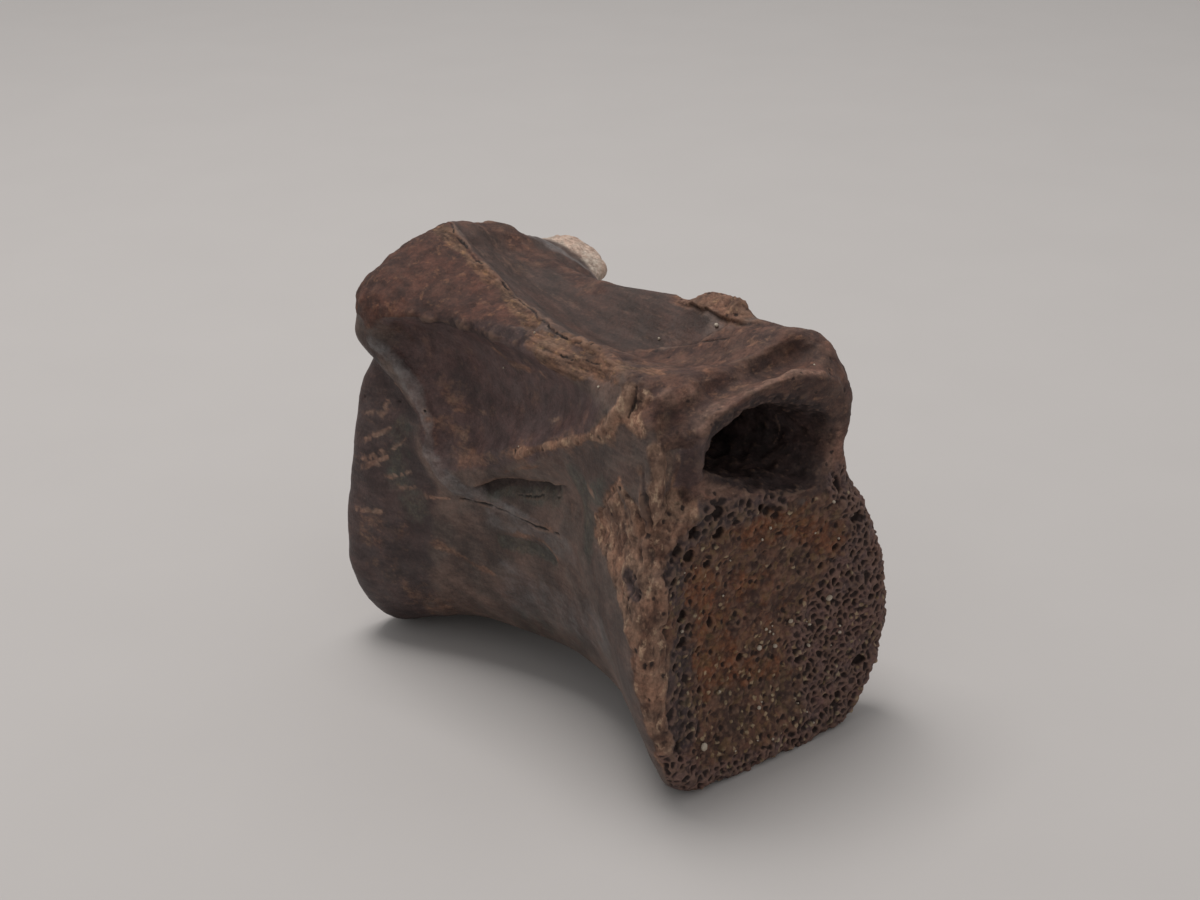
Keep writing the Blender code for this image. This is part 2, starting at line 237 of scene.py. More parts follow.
FOSSA_RIM = (
    (37, 70), (33, 77.5), (25, 79.8), (12, 81), (0, 82.4), (-9, 80.6), (-22, 77), (-30, 78.6), (-24, 70),
    (-10, 61.5), (3, 55), (14, 49), (22, 47), (26, 52), (28, 58), (32, 64),
)
FRONT_STRIP = ((-26.9, -44.6, 75), (-27.1, -45.8, 71.2), (-27.8, -46.3, 67.5), (-28.5, -46, 63.5))
MIDDLE_STRIP = ((-28.1, -42.4, 68), (-28.8, -43.6, 62), (-29.2, -44.6, 57))
BACK_STRIP = ((-28.6, -36.5, 66.5), (-28.9, -39.6, 63), (-29, -41.6, 58.5))
CORNER_STRIP = ((-26.4, -37, 83.4), (-27.6, -36, 80.4), (-28.4, -33.4, 77), (-28.4, -30, 73.6))
INNER_GROOVE = ((-28.5, -40.6, 64), (-29.1, -42.8, 59), (-29.8, -44.4, 53))
RIM_RIDGE = ((-26.8, -48.6, 50), (-26.4, -48.8, 40), (-26, -48.8, 30), (-25, -48.8, 20))
CRUST_PIT = ((-30.8, -41.5, 49.6), (-31.8, -44.6, 47.6))
REAR_OUTLINE = ((52, 70), (40, 68), (31, 60), (29, 50), (24, 43), (26, 30), (30, 12), (36, -4), (54, -4))

# Where each kind of ground lies. The far flank, the rear and the underside repeat the near side's kinds.
AREAS: dict[Area, tuple[Stroke | Patch, ...]] = {
    Area.TROUGH: (
        Patch(((-7, 50), (-12, 26), (-15, 10), (-21, -6), (-23, -20), (-13, -14.5), (-4, -11), (0, -15),
               (3.6, -22), (8, -21), (8.2, -14), (10, -8), (15, 0), (18, 20), (18, 34), (15, 50)),
              Plane.TOP, (0.1, 0, 1), (74, 100)),
    ),
    Area.PLUM: (
        Patch(FOSSA_RIM, Plane.SIDE, (-1, 0, 0), (-60, -10), 0.95, 3.5, 2.5),
        Patch(FOSSA_RIM, Plane.SIDE, (1, 0, 0), (10, 60), 0.85, 3.5, 2.5),
        Stroke(((-20, -44, 78), (-19.9, -46.4, 74.6), (-20.6, -46.2, 70.4), (-20.8, -45.6, 65),
                (-21.6, -46.6, 61)), 3.6, 1.0),
        Stroke(LIP_GROOVE, 2.8, 0.9, 0.4),
        Stroke(((-26.5, -36, 73), (-27.4, -38.5, 68)), 2.6, 0.6),
        Stroke(((-30.6, 34, 76.6), (-28, 27.2, 78.6), (-26, 20.8, 79.8), (-25.2, 13.5, 80.8),
                (-24, 5, 82), (-23.4, -4, 82.2)), 3.4, 1.0, 0.3),
    ),
    # Painted sheen: grey lightening along the crest, the trough's far edge and both flanks.
    Area.PAINTED_SHEEN: (
        Stroke(CREST, 2.2, 0.8, 0.6),
        Stroke(((12.9, 43.7, 82.8), (15.2, 37.8, 81.8), (16.9, 33, 79.9), (19.2, 30.7, 77.8)), 2.6, 0.8),
        Stroke(((-22.6, 10, 40), (-20.6, -4, 39), (-21.6, -14, 41)), 5.0, 0.4),
        Stroke(((-19, 8, 22), (-18, -4, 23), (-21, -18, 25), (-24, -28, 29)), 10.0, 0.45),
        Stroke(((22, 12, 37), (21, -6, 38), (22, -20, 40)), 10.0, 0.4),
    ),
    Area.MOSS: (
        Stroke(((-22.3, 8, 34.6), (-21.3, 3.7, 34.7), (-20.7, -1, 35.6), (-20.4, -5.2, 35.1)), 2.4, 0.9),
        Stroke(((-25.2, -19.3, 59.7), (-25, -23, 54), (-24.2, -23, 46)), 5.5, 0.7),
        Stroke(((-27.7, -30.5, 63.4), (-26.4, -26, 58)), 3.4, 0.6),
        Stroke(((-23, 9, 45.5), (-21, 2, 47.5), (-21, -7, 51)), 3.6, 0.6),
        Stroke(((-29.6, 33, 54), (-30.4, 34, 45), (-29.4, 30, 37)), 5.5, 0.5),
        Stroke(((-16, 6, 13), (-15, -12, 13)), 9.0, 0.35),
        Stroke(((21, 4, 48), (22, -12, 54)), 7.0, 0.5),
    ),
    Area.REAR: (
        Patch(REAR_OUTLINE, Plane.SIDE, (-1, -0.3, 0), (-60, -10), 0.9, 6.0, 3.0),
        Patch(REAR_OUTLINE, Plane.SIDE, (1, -0.3, 0), (10, 60), 0.8, 6.0, 3.0),
    ),
    Area.STREAK: (
        Stroke(CORNER_RIDGE, 1.3, 0.9),
        Stroke(CORNER_RIDGE, 4.6, 0.3, 0.8),
        Stroke(((-25.3, 20.1, 50.9), (-24.6, 11.7, 52.2), (-24.9, 0.1, 57.6)), 2.6, 0.38, 1.2),
        Stroke(((-26.8, 24.6, 54.7), (-24.4, 22.9, 58.3), (-22.7, 21.3, 61.4)), 5.0, 0.36, 1.2),
        Stroke(((-32.8, 37.6, 27), (-31.9, 34.6, 21.9), (-29.3, 33.7, 14.7), (-25.2, 31.6, 10.8)),
               9.0, 0.32, 0.8),
        Stroke(((-27.5, 25.1, 28.5), (-25.4, 20.2, 27.8), (-23.5, 16.1, 25.9), (-22, 12.4, 25)),
               1.3, 0.6, 0.6),
        Stroke(((-22.1, 10.4, 76.6), (-21.3, 4.4, 74.8), (-21.6, -1.3, 75.5)), 0.8, 0.6, 0.7),
        Stroke(((-23, 6.4, 51.4), (-24.4, -6.3, 57.3)), 0.6, 0.8),
        Stroke(((-27.7, 25.6, 55.6), (-25.3, 23.3, 55.7), (-23.5, 20.8, 55.6)), 4.0, 0.45, 1.0),
        Stroke(((0.5, 44, 88.5), (0.4, 40, 86.7), (1.3, 36.3, 83.9), (0.1, 29.3, 82.4)), 4.5, 0.3, 0.8),
        Stroke(((-22.6, 9, 35.9), (-21.2, 0.9, 38), (-20.8, -4, 38.5), (-20.4, -9, 35)), 0.6, 0.6, 0.6),
        Stroke(((-23, -26, 46), (-22, -16, 44), (-20.6, -2, 42)), 1.0, 0.35, 0.9),
        Stroke(((24, 30, 40), (22, 10, 46), (24, -14, 60), (26, -30, 72)), 4.0, 0.5, 0.8),
        Stroke(((10, 20, 8), (8, -20, 8)), 7.0, 0.35, 0.8),
    ),
    Area.DASH: (
        Stroke(((-21.2, 16.8, 60.7), (-21.2, 12.2, 60.1)), 0.4, 0.8, 0.1),
        Stroke(((-22.8, -8.3, 67.3), (-23.1, -11.7, 69)), 0.5, 1.0, 0.1),
        Stroke(((-21.8, -4.2, 75.9), (-21.9, -5.4, 75.2)), 0.9, 0.9, 0.4),
    ),
    Area.BROW: (
        Patch(((-22, -19), (-14, -15), (-4, -11), (0, -15), (3.6, -21.5), (9, -23), (12, -29), (16, -34),
               (25, -37), (25, -50), (-24, -50), (-28, -36), (-25, -26)),
              Plane.TOP, (0, -0.2, 1), (74, 100), 0.85, 3.0, 3.0),
        Stroke(((13, -32, 86), (19, -38, 83), (24, -41, 76), (25.4, -42, 69)), 7.5, 0.8),
        Stroke(((0, 46, 90), (5, 42, 86), (8, 35, 83), (9, 26, 82), (7, 14, 82)), 8.0, 0.6, 0.7),
        Patch(((-17, 60), (-11, 59), (0, 57), (10, 56), (19, 56), (30, 54), (32, 64), (30, 78), (20, 84),
               (-16, 84), (-18, 76), (-18, 66)), Plane.END, (0, -1, 0), (-60, -36), 0.9, 3.0, 2.0),
        Stroke(((-14.6, 49, 68), (-12, 49, 76), (0, 49.5, 80.5), (12, 49, 76), (14, 49, 68)), 3.0, 0.6),
    ),
    Area.LIP: (
        Stroke(CANAL_LIP, 2.1, 0.9, 0.3),
        Stroke(((-22, -41.8, 83.4), (-18.8, -42.6, 81.6), (-16.7, -41.8, 83.1)), 3.2, 0.6, 0.8),
        Stroke(((-18, -46.3, 64.9), (-11.6, -47.7, 62.8), (-5.7, -47.4, 62), (-1, -48.4, 59.6),
                (4, -48.8, 57.6)), 2.4, 0.8),
        Stroke(((17.6, -44.5, 66), (17, -46, 61), (20.4, -46.6, 56)), 4.5, 0.85),
    ),
    Area.FACET: (
        Patch(((-5, 50), (-8.3, 42.9), (-11.4, 31.7), (-13.2, 22.1), (-14, 15.2), (-17.2, 4.6),
               (-19.6, -2), (-22, 2), (-24.6, 9.6), (-25.4, 17.8), (-28, 26), (-31, 32), (-40, 36),
               (-40, 50)), Plane.TOP, (-0.5, 0, 0.85), (76, 100)),
        Stroke(((-31, 45, 80.5), (-31.6, 40, 77.6)), 5.0, 0.8),
        Stroke(((-30.1, 32.7, 77.9), (-29.4, 35.4, 74.4)), 3.4, 0.4, 1.4),
    ),
    Area.FLAKE: (
        Stroke(((-22.4, -6, 83), (-23.6, -11, 82.4), (-23.8, -15.6, 82.6), (-24, -24.6, 83.4),
                (-23.6, -31.9, 84.6), (-20, -35.4, 85)), 3.4, 0.9, 1.0),
        Stroke(((-9.8, 44.6, 90.4), (-11.6, 37.6, 89.2), (-12.7, 31, 87.8), (-14.5, 22, 86.3),
                (-15.2, 16, 85.2), (-17.6, 8, 84.6), (-20.4, 0, 84)), 2.1, 0.8, 0.8),
        Stroke(((-20.6, -10, 85.4), (-21.3, -16, 85.8), (-21.4, -20.6, 85.9)), 1.5, 1.0),
    ),
    Area.STRIP: (
        Stroke(FRONT_STRIP, 2.7, 0.95, 0.4),
        Stroke(BACK_STRIP, 1.5, 0.9, 0.4),
        Stroke(MIDDLE_STRIP, 1.1, 0.7, 0.4),
        Stroke(((-21.5, -43.8, 76.6), (-22.2, -45.1, 71.5), (-23.6, -45, 66)), 0.8, 0.5),
        Stroke(CORNER_STRIP, 2.5, 1.0),
        Stroke(((-28.4, -43, 59), (-28.4, -43.6, 54), (-29.4, -45, 48)), 5.0, 0.9, 0.7),
        Patch(((-35.5, 66.5), (-33, 63.5), (-30.6, 60), (-25.5, 54.5), (-25, 51), (-31.2, 48.2),
               (-35, 45.8), (-38.6, 43.2), (-43, 41.6), (-45.4, 38), (-45.8, 30), (-46.2, 20), (-46.6, 10),
               (-60, 8), (-60, 62), (-46.5, 60), (-44.4, 62), (-43, 64), (-40.5, 61), (-38, 62)),
              Plane.SIDE, (-1, -0.5, 0), (-60, -24), 0.95, 1.8, 1.8),
        Patch(((-34, 62), (-34, 8), (-24.6, 8), (-26, 20), (-26.4, 28), (-27.2, 38), (-28.4, 46),
               (-27.8, 52), (-26.4, 57), (-24.4, 59.6), (-19.6, 62.6), (-17.6, 64), (-20, 66),
               (-25.4, 66.5), (-27.6, 64)), Plane.END, (0, -1, 0), (-60, -38), 0.95, 1.8, 1.8),
        Stroke(((-25.3, -39.4, 83.6), (-26.6, -38.5, 81.9), (-27.8, -38.2, 79), (-28, -41.2, 78.1)),
               2.8, 0.8),
        Stroke(RIM_RIDGE, 2.0, 0.9, 1.0),
        Stroke(((-24, -42, 79), (-25.5, -44, 74), (-26.5, -45.4, 70)), 3.6, 0.5, 0.9),
        Stroke(CORNER_RIDGE, 1.4, 0.75, 0.7),
        Stroke(((29.5, -42, 56), (32, -45, 44), (34, -45, 30), (33, -45, 14), (26, -46, 3)), 3.0, 0.55),
        Stroke(((33, 46, 14), (35, 46, 30), (33.5, 46, 46)), 3.4, 0.4),
    ),
    Area.LUMP: (
        Stroke(((12.2, -9, 85), (12, -16, 88), (12.4, -23, 87)), 5.4, 0.95),
    ),
    Area.SPONGE: (
        Patch(((-27.8, 55), (-23, 59), (-16, 62.2), (-9, 61), (-4, 58.4), (4, 56.8), (12, 55.5), (18, 57),
               (24, 54), (40, 44), (42, 20), (36, -6), (-14, -6), (-21, 6), (-24.6, 13), (-25.8, 23),
               (-26.4, 31), (-26.6, 39), (-27.4, 47)),
              Plane.END, (0, -1, 0), (-60, -40), 1.0, 2.2, 2.4),
    ),
    Area.OCHRE: (
        Stroke(((-19, -48, 46), (-15, -48, 38), (-13, -48, 30), (-12, -48, 24)), 6.5, 0.85, 0.9),
        Stroke(((-12, -48, 24), (-4, -48, 21), (3, -48, 20)), 5.6, 0.95, 0.9),
        Stroke(((-6, -48, 51), (4, -48, 51), (12, -48, 48), (17, -48, 42)), 5.6, 0.75, 0.9),
        Stroke(((-12, -48, 50), (-8, -48, 42), (2, -48, 36), (6, -48, 30)), 6.0, 0.35, 0.9),
    ),
    Area.COARSE: (
        Stroke(((-27, -48, 52), (-23, -48.6, 57), (-15, -48.8, 60), (-8, -48.6, 59), (0, -48.6, 57)),
               4.2, 0.95),
        Stroke(CRUST_PIT, 2.8, 0.85),
        Stroke(((-25.6, -48, 51), (-23.4, -47.6, 42), (-22.8, -47.4, 33), (-24, -48, 24), (-22, -48, 14)),
               4.6, 0.85, 0.8),
    ),
    Area.NETWORK: (
        Patch(((15, 57), (21, 47), (19, 40), (13, 33), (9, 27.6), (6.6, 20), (11, 14), (9, 6), (-6, 3.6),
               (-18, 6), (-24, 13), (-30, 13), (-24, -4), (0, -6), (34, -4), (42, 20), (40, 46), (24, 59)),
              Plane.END, (0, -1, 0), (-60, -38), 1.0, 5.0, 3.0),
    ),
    Area.IVORY: (
        Stroke(((22, 47, 80), (22.6, 42, 81), (23.8, 37, 78.6), (24, 31, 76), (25, 27, 72)), 6.4, 1.0, 0.3),
    ),
    # Painted shade inside the canal, on its mouth, under the facet's edge, in the flank slit and between
    # the strips.
    Area.PAINTED_SHADE: (
        Stroke(((1, -43, 68), (1, -40, 67.5), (0, -20, 66.5), (0, 20, 67), (0, 44, 70)), 27.0, 0.85, 0.05,
               True),
        Stroke(((5, -39.6, 81.6), (13.4, -40.6, 82)), 2.4, 0.3),
        Stroke(CANAL_MOUTH, 2.8, 0.8, 0.3),
        Stroke(((-28, 27.2, 78.6), (-26, 20.8, 79.8), (-25.2, 13.5, 80.8), (-23.9, 5.5, 82.5),
                (-23.2, -1, 82.8)), 3.0, 0.58, 0.4),
        Stroke(((-25.2, -5.1, 61.8), (-25.5, -10.2, 60.9), (-25.5, -14.9, 61.7)), 2.6, 0.35, 0.7),
        Stroke(((-19.4, -46, 77), (-19.8, -46.6, 72), (-20.4, -46, 66)), 3.4, 0.42, 0.5),
        Stroke(FLANK_SLIT, 2.0, 0.5, 0.7),
        Stroke(((-28, -43.2, 70), (-28.4, -43.6, 65), (-29, -44, 60), (-29.4, -45.4, 56)), 1.2, 0.6, 0.5),
        Stroke(CRUST_PIT, 1.8, 0.45, 0.8),
    ),
}

# Tan dashes, each with its two ends and its half width in mm, all equally ragged.
DASH_RAGGED = 0.25
DASHES: tuple[tuple[Point, Point, float], ...] = (
    ((-33.5, 43.1, 42), (-31.4, 36.5, 46.3), 0.8),
    ((-33.5, 43.8, 43.5), (-31.6, 37.6, 47.4), 0.5),
    ((-32, 36.6, 41.6), (-29.6, 30.1, 44.3), 0.45),
    ((-31, 33.4, 39.8), (-29.3, 29, 41.2), 0.4),
    ((-28.5, 27, 39.7), (-26.6, 20.8, 40.8), 0.4),
    ((-30.9, 35.6, 48), (-29.4, 32.4, 51.2), 0.6),
    ((-32.8, 43.1, 48.2), (-30.2, 36.2, 52.6), 0.65),
    ((-30.5, 39.2, 54.5), (-28.8, 39, 57.5), 0.8),
    ((-28.1, 37.1, 62), (-29.2, 33, 61.8), 0.5),
    ((-31.9, 44.5, 53.8), (-29.8, 38.1, 56), 0.45),
    ((-35, 44.3, 32.2), (-32.9, 37.3, 33.6), 0.6),
    ((-26.4, -24.6, 60.4), (-26.5, -26, 59.2), 0.9), ((-21.8, -13.5, 51.4), (-22.7, -14.9, 48.4), 0.35),
    ((7.4, 39.4, 84.7), (7.8, 38.4, 84.2), 0.6), ((8.3, 36.6, 82.9), (8.7, 35.4, 82.6), 0.6),
)
CRACKS = (
    # The roof's long crack.
    Crack(ROOF_CRACK, 0.36, 0.55, 0.9),
    # Two thin ones on the near flank: below the slit, and from the rear rim into the crest.
    Crack(((-28.1, 25.6, 40), (-26.2, 17.5, 41.9), (-24.6, 13.9, 42.1), (-23.2, 10.1, 42.5),
           (-22.3, 5.8, 41.6), (-21.7, 1.2, 41.4), (-21.3, -3.8, 41.9), (-22, -9.9, 43)), 0.34, 0.7),
    Crack(((-33, 47, 56.2), (-30.3, 45.6, 56.7), (-29.3, 41.8, 57.4), (-28, 37.5, 57.8), (-28.6, 32, 60),
           (-27.7, 27, 59)), 0.36, 0.8),
    # Inside the flank slit.
    Crack(((-22.6, 8, 45.2), (-21.6, 4.7, 46.2), (-20.9, 0.1, 47.6), (-21.1, -8.9, 50.5)), 0.32, 0.6),
    # The notch where the corner ridge meets the roof.
    Crack(((-25.6, -37.5, 84.7), (-26.6, -38.1, 82.4), (-27.8, -37.6, 79.4)), 0.34, 0.8, 0.3),
    # Along the edge of the trough, and through the flaking ridge.
    Crack(((-21.4, -20, 85.8), (-14, -16, 82), (-4, -11, 78.2), (0, -15, 79), (3.7, -22.1, 81.1),
           (9.9, -31.5, 84.6)), 0.3, 0.35),
    Crack(((-23, -6, 82.6), (-23.6, -14, 83), (-23.7, -22, 84), (-22.8, -29, 85)), 0.24, 0.25, 1.0),
    # Between the upright strips at the worn end.
    Crack(((-28.3, -44.4, 67), (-28.9, -44.8, 61), (-29.4, -46, 56), (-29.8, -47, 52)), 0.6, 1.2, 0.6),
    Crack(INNER_GROOVE, 0.35, 0.7, 0.7),
    Crack(((-25.2, -45.6, 74), (-25.6, -46.4, 69), (-26.6, -46.8, 63)), 0.3, 0.5, 0.5),
    # On the far flank and the underside.
    Crack(((22, 20, 44), (21, 4, 43), (21.4, -12, 45)), 0.35, 0.6),
    Crack(((6, 30, 4), (3, 8, 7), (5, -14, 7)), 0.35, 0.5),
)
STEPS = (
    # The roof crack's trough side, and the overhang above the flank slit.
    Step(ROOF_CRACK, (1, 0, 0.4), 0.3, 6.0, 1.6),
    Step(((-23.4, 12, 47), (-22.4, 8, 49), (-21.2, 5, 50.2), (-20.8, 1, 51.2), (-21, -3, 52.2),
          (-21.6, -9, 54)), (0, 0, 1), 1.5, 4.5, 0.5),
    # The crumbling lump's broken side, and the roof's front above the trough.
    Step(((8.4, -13, 85.8), (8.1, -18.4, 86.1), (8.6, -21.6, 85.3), (9.6, -24, 84.9), (11.9, -27.3, 84.9)),
         (1, 0, 0), 0.9, 4.5, 1.0),
    Step(((-21, -19, 85.6), (-14, -15, 82), (-4, -11, 78.4), (0, -15, 79), (3.6, -22, 81), (8, -23.5, 84)),
         (0, -1, 0), 0.4, 4.0),
    # The crust's two edges, towards the flank and towards the spongy face.
    Step(((-28.6, -36, 66), (-27, -30, 57), (-26.4, -28.9, 51.6), (-28.3, -33, 48.7), (-30.2, -37.3, 44.9),
          (-32.4, -42.4, 41), (-32.8, -45.6, 36)), (0, -1, 0), 0.5, 3.6, 1.0),
    Step(((-28.2, -46, 56), (-28.4, -47.6, 48), (-28.2, -47.8, 40), (-27.8, -47.8, 30), (-27, -47.8, 22),
          (-25.6, -48, 14)), (-1, 0, 0), 0.5, 3.0, 1.2),
)
FOLDS = (
    # The flank's crest, corner ridge, slit and the shallow dent below it.
    Fold(CREST, 1.8, 0.45),
    Fold(CORNER_RIDGE, 1.1, 0.3),
    Fold(FLANK_SLIT, 2.6, -0.6),
    Fold(((-22.3, 8, 34.6), (-21.3, 3.7, 34.8), (-20.7, -1, 35.6), (-20.4, -5.2, 35.2)), 2.2, -0.6),
    # The rear rim's near side, and the broken process at the far side.
    Fold(((-30, 47, 72), (-32, 48, 66), (-33.5, 48.5, 58)), 5.0, 0.9),
    Fold(((23, 44, 79), (25.5, 38, 78), (26, 32, 75), (25.5, 27, 72)), 4.0, 0.9),
    # The groove behind the canal's lip.
    Fold(((-10, -42.6, 81.2), (-3.4, -42, 81.6), (9.4, -39.6, 82), (15, -39, 82.4), (18, -38.6, 81)),
         4.0, -0.9),
    Fold(((4, -40.6, 82), (12, -39.6, 82.4)), 4.4, -0.6),
    # The crust along the worn end's rim, with its pit.
    Fold(RIM_RIDGE, 2.2, 0.6),
    Fold(((-28.4, -43.4, 57), (-29.6, -46, 54), (-29.4, -48.4, 50.6), (-28.9, -48.9, 46.6),
          (-28.8, -48.9, 43)), 1.3, 0.7),
    Fold(CRUST_PIT, 2.2, -0.65),
    # The roof's rear edge, and the end of the broken process.
    Fold(((4, 46, 88), (8, 45, 86), (11.5, 44, 84)), 4.5, 1.3),
    Fold(((25.6, 33.4, 76), (25, 29, 73)), 3.0, 1.2),
    # The upright strips at the worn end, and the grooves between them.
    Fold(CORNER_STRIP, 1.8, 0.6),
    Fold(FRONT_STRIP, 2.2, 0.5),
    Fold(BACK_STRIP, 1.4, 0.5),
    Fold(MIDDLE_STRIP, 1.0, 0.4),
    Fold(((-28.3, -44.8, 66), (-28.9, -45.2, 61), (-29.6, -46.6, 55), (-30, -47.8, 49)), 1.1, -0.6),
    Fold(INNER_GROOVE, 0.9, -0.5),
    # Low ribs along the trough, and a flake at the end of the roof crack.
    Fold(((7.5, 40.2, 85.1), (8.6, 35, 82.4), (10, 24.5, 81.4), (8, 12, 82.8)), 2.4, 0.35),
    Fold(((13.7, 42, 82.6), (14.6, 33.7, 80.9), (17.1, 29.5, 78.3)), 2.2, 0.6),
    Fold(((3, 40, 86), (3, 26, 83), (2, 10, 80.4), (2, -6, 79)), 2.6, 0.2),
    Fold(((-20.2, -14, 85.3), (-21.2, -17, 85.8), (-21.4, -20.6, 86)), 1.3, 0.5),
)
# Relief, from the broad swells of the whole bone to each ground's own grain.
TEXTURES = (
    Texture(None, Kind.BUMP, 13.0, 0.3),
    Texture(None, Kind.BUMP, 4.5, 0.14),
    Texture(None, Kind.BUMP, 1.3, 0.04, (1, 2.5, 1)),
    Texture(Area.TROUGH, Kind.FIBRE, 2.2, 0.1, (1, 7, 1)),
    Texture(Area.FACET, Kind.BUMP, 5.0, 0.35),
    Texture(Area.FACET, Kind.BUMP, 1.6, 0.3),
    Texture(Area.FLAKE, Kind.LAYER, 3.0, 0.5, (0.6, 3.4, 0.6)),
    Texture(Area.FLAKE, Kind.BUMP, 1.3, 0.25, (0.8, 2.0, 0.8)),
    Texture(Area.STRIP, Kind.LAYER, 3.6, 0.45, (0.8, 0.8, 1.3)),
    Texture(Area.STRIP, Kind.BUMP, 3.0, 0.6, (1, 1, 1.2)),
    Texture(Area.STRIP, Kind.FIBRE, 0.9, 0.06, (1, 1, 3)),
    Texture(Area.STRIP, Kind.CRUMB, 1.9, 0.42),
    Texture(Area.STRIP, Kind.PIT, 1.3, 0.3, (1, 1, 1.3), 0.86),
    Texture(Area.BROW, Kind.LAYER, 5.0, 0.35, (3.0, 0.8, 0.8)),
    Texture(Area.BROW, Kind.BUMP, 2.0, 0.3, (1.6, 1, 1)),
    Texture(Area.BROW, Kind.PIT, 1.2, 0.16, closed=0.86),
    Texture(Area.LIP, Kind.BUMP, 2.0, 0.34),
    Texture(Area.LUMP, Kind.LAYER, 4.0, 0.6),
    Texture(Area.LUMP, Kind.BUMP, 2.6, 0.6),
    Texture(Area.LUMP, Kind.PIT, 1.1, 0.2, closed=0.85),
    Texture(Area.IVORY, Kind.LAYER, 3.4, 0.4, (1, 1, 3)),
    Texture(Area.IVORY, Kind.FIBRE, 1.3, 0.25, (1, 1.5, 8)),
    Texture(Area.REAR, Kind.BUMP, 2.6, 0.16, (1, 2, 1)),
    Texture(Area.STREAK, Kind.FIBRE, 1.2, 0.08, (1, 5, 1)),
    Texture(Area.PAINTED_SHADE, Kind.BUMP, 3.2, 1.4),
    Texture(Area.SPONGE, Kind.BUMP, 3.4, 0.6),
    Texture(Area.SPONGE, Kind.CRUMB, 1.25, 0.35),
    Texture(Area.SPONGE, Kind.CRUMB, 2.3, 0.5),
    Texture(Area.SPONGE, Kind.PIT, 1.5, 0.4, closed=0.7),
    Texture(Area.COARSE, Kind.PIT, 2.1, 0.9, closed=0.3),
    Texture(Area.NETWORK, Kind.CELL, 1.6, 1.0, closed=0.05),
)
# The worn end's wide pores and its larger sand grains, each with x, z and radius in mm.
PORES: tuple[Point, ...] = (
    (-15, 60.3, 1.2), (-14.4, 55.6, 1.3), (-21.2, 58.2, 1.15), (-21.3, 53.2, 1.35), (-24.6, 55.3, 1.0),
    (-3.8, 57.8, 1.3), (-1.2, 57.2, 1.2), (-16.3, 49.6, 1.0), (-22.2, 40.4, 1.1), (-20.4, 37.4, 0.9),
    (-14.4, 36.4, 0.9), (-22.4, 35, 1.1), (-25, 31.2, 1.0), (-6, 25.1, 1.0), (17.9, 55.7, 1.2),
    (22.4, 47.6, 1.1), (17.4, 42.5, 0.9), (14.6, 38.9, 0.8), (10.1, 19.1, 1.0), (26, 13.6, 1.1),
    (-24.2, 13.4, 1.1), (-18, 31.8, 0.8), (-17.4, 22.9, 0.8), (-26.4, 50, 0.9),
)
GRAINS: tuple[Point, ...] = (
    (16.4, 31.6, 0.7), (6.9, 29.1, 0.5), (-1.5, 26, 0.6), (12.4, 21.8, 0.4), (-17.8, 11.1, 0.85),
    (14.2, 54, 0.4), (1.4, 28.6, 0.35), (3.2, 24.7, 0.45), (-2.1, 13.3, 0.4), (1.1, 5.1, 0.4),
    (-22.3, 37.4, 0.35), (0.4, 29.4, 0.3), (2.4, 27.6, 0.3),
)
# Specks of sand elsewhere on the bone, each with its place and radius in mm.
DUST: tuple[tuple[Point, float], ...] = (
    ((7.5, -22.4, 84.2), 0.45), ((1.3, -12.8, 79.7), 0.28), ((-20.8, 8.7, 72.7), 0.22),
    ((-21.9, -2.9, 83.7), 0.25), ((-26, -27.1, 81.4), 0.25), ((14, -43, 80), 0.22),
    ((-25, -1, 60), 0.2),
)


def scatter(cells: Array, seed: int) -> Array:
    """Even random numbers from 0 to 1, one for each whole-number cell.

    The cell's three numbers are mixed with large odd constants, so neighbours get unlike results.

    Args:
        cells: Whole numbers with three columns.
        seed: Chooses the sequence.

    Returns:
        One number for each cell.
    """
    words = cells.astype(np.int64).view(np.uint64)
    mixed = words[:, 0] * np.uint64(0x9E3779B97F4A7C15)
    mixed ^= words[:, 1] * np.uint64(0xC2B2AE3D27D4EB4F)
    mixed ^= words[:, 2] * np.uint64(0x165667B19E3779F9)
    mixed ^= np.uint64(seed * 0x27D4EB2F165667C5 & 0xFFFFFFFFFFFFFFFF)
    for shift in (29, 32):
        mixed = (mixed ^ (mixed >> np.uint64(shift))) * np.uint64(0xBF58476D1CE4E5B9)
    return (mixed >> np.uint64(40)) / float(1 << 24)


# How far the summed octaves of fractal noise reach, and what sets a cell's identity apart from the
# three seeds that place its centre.
FRACTAL_SPAN = 1.6
IDENTITY_SEED = 7


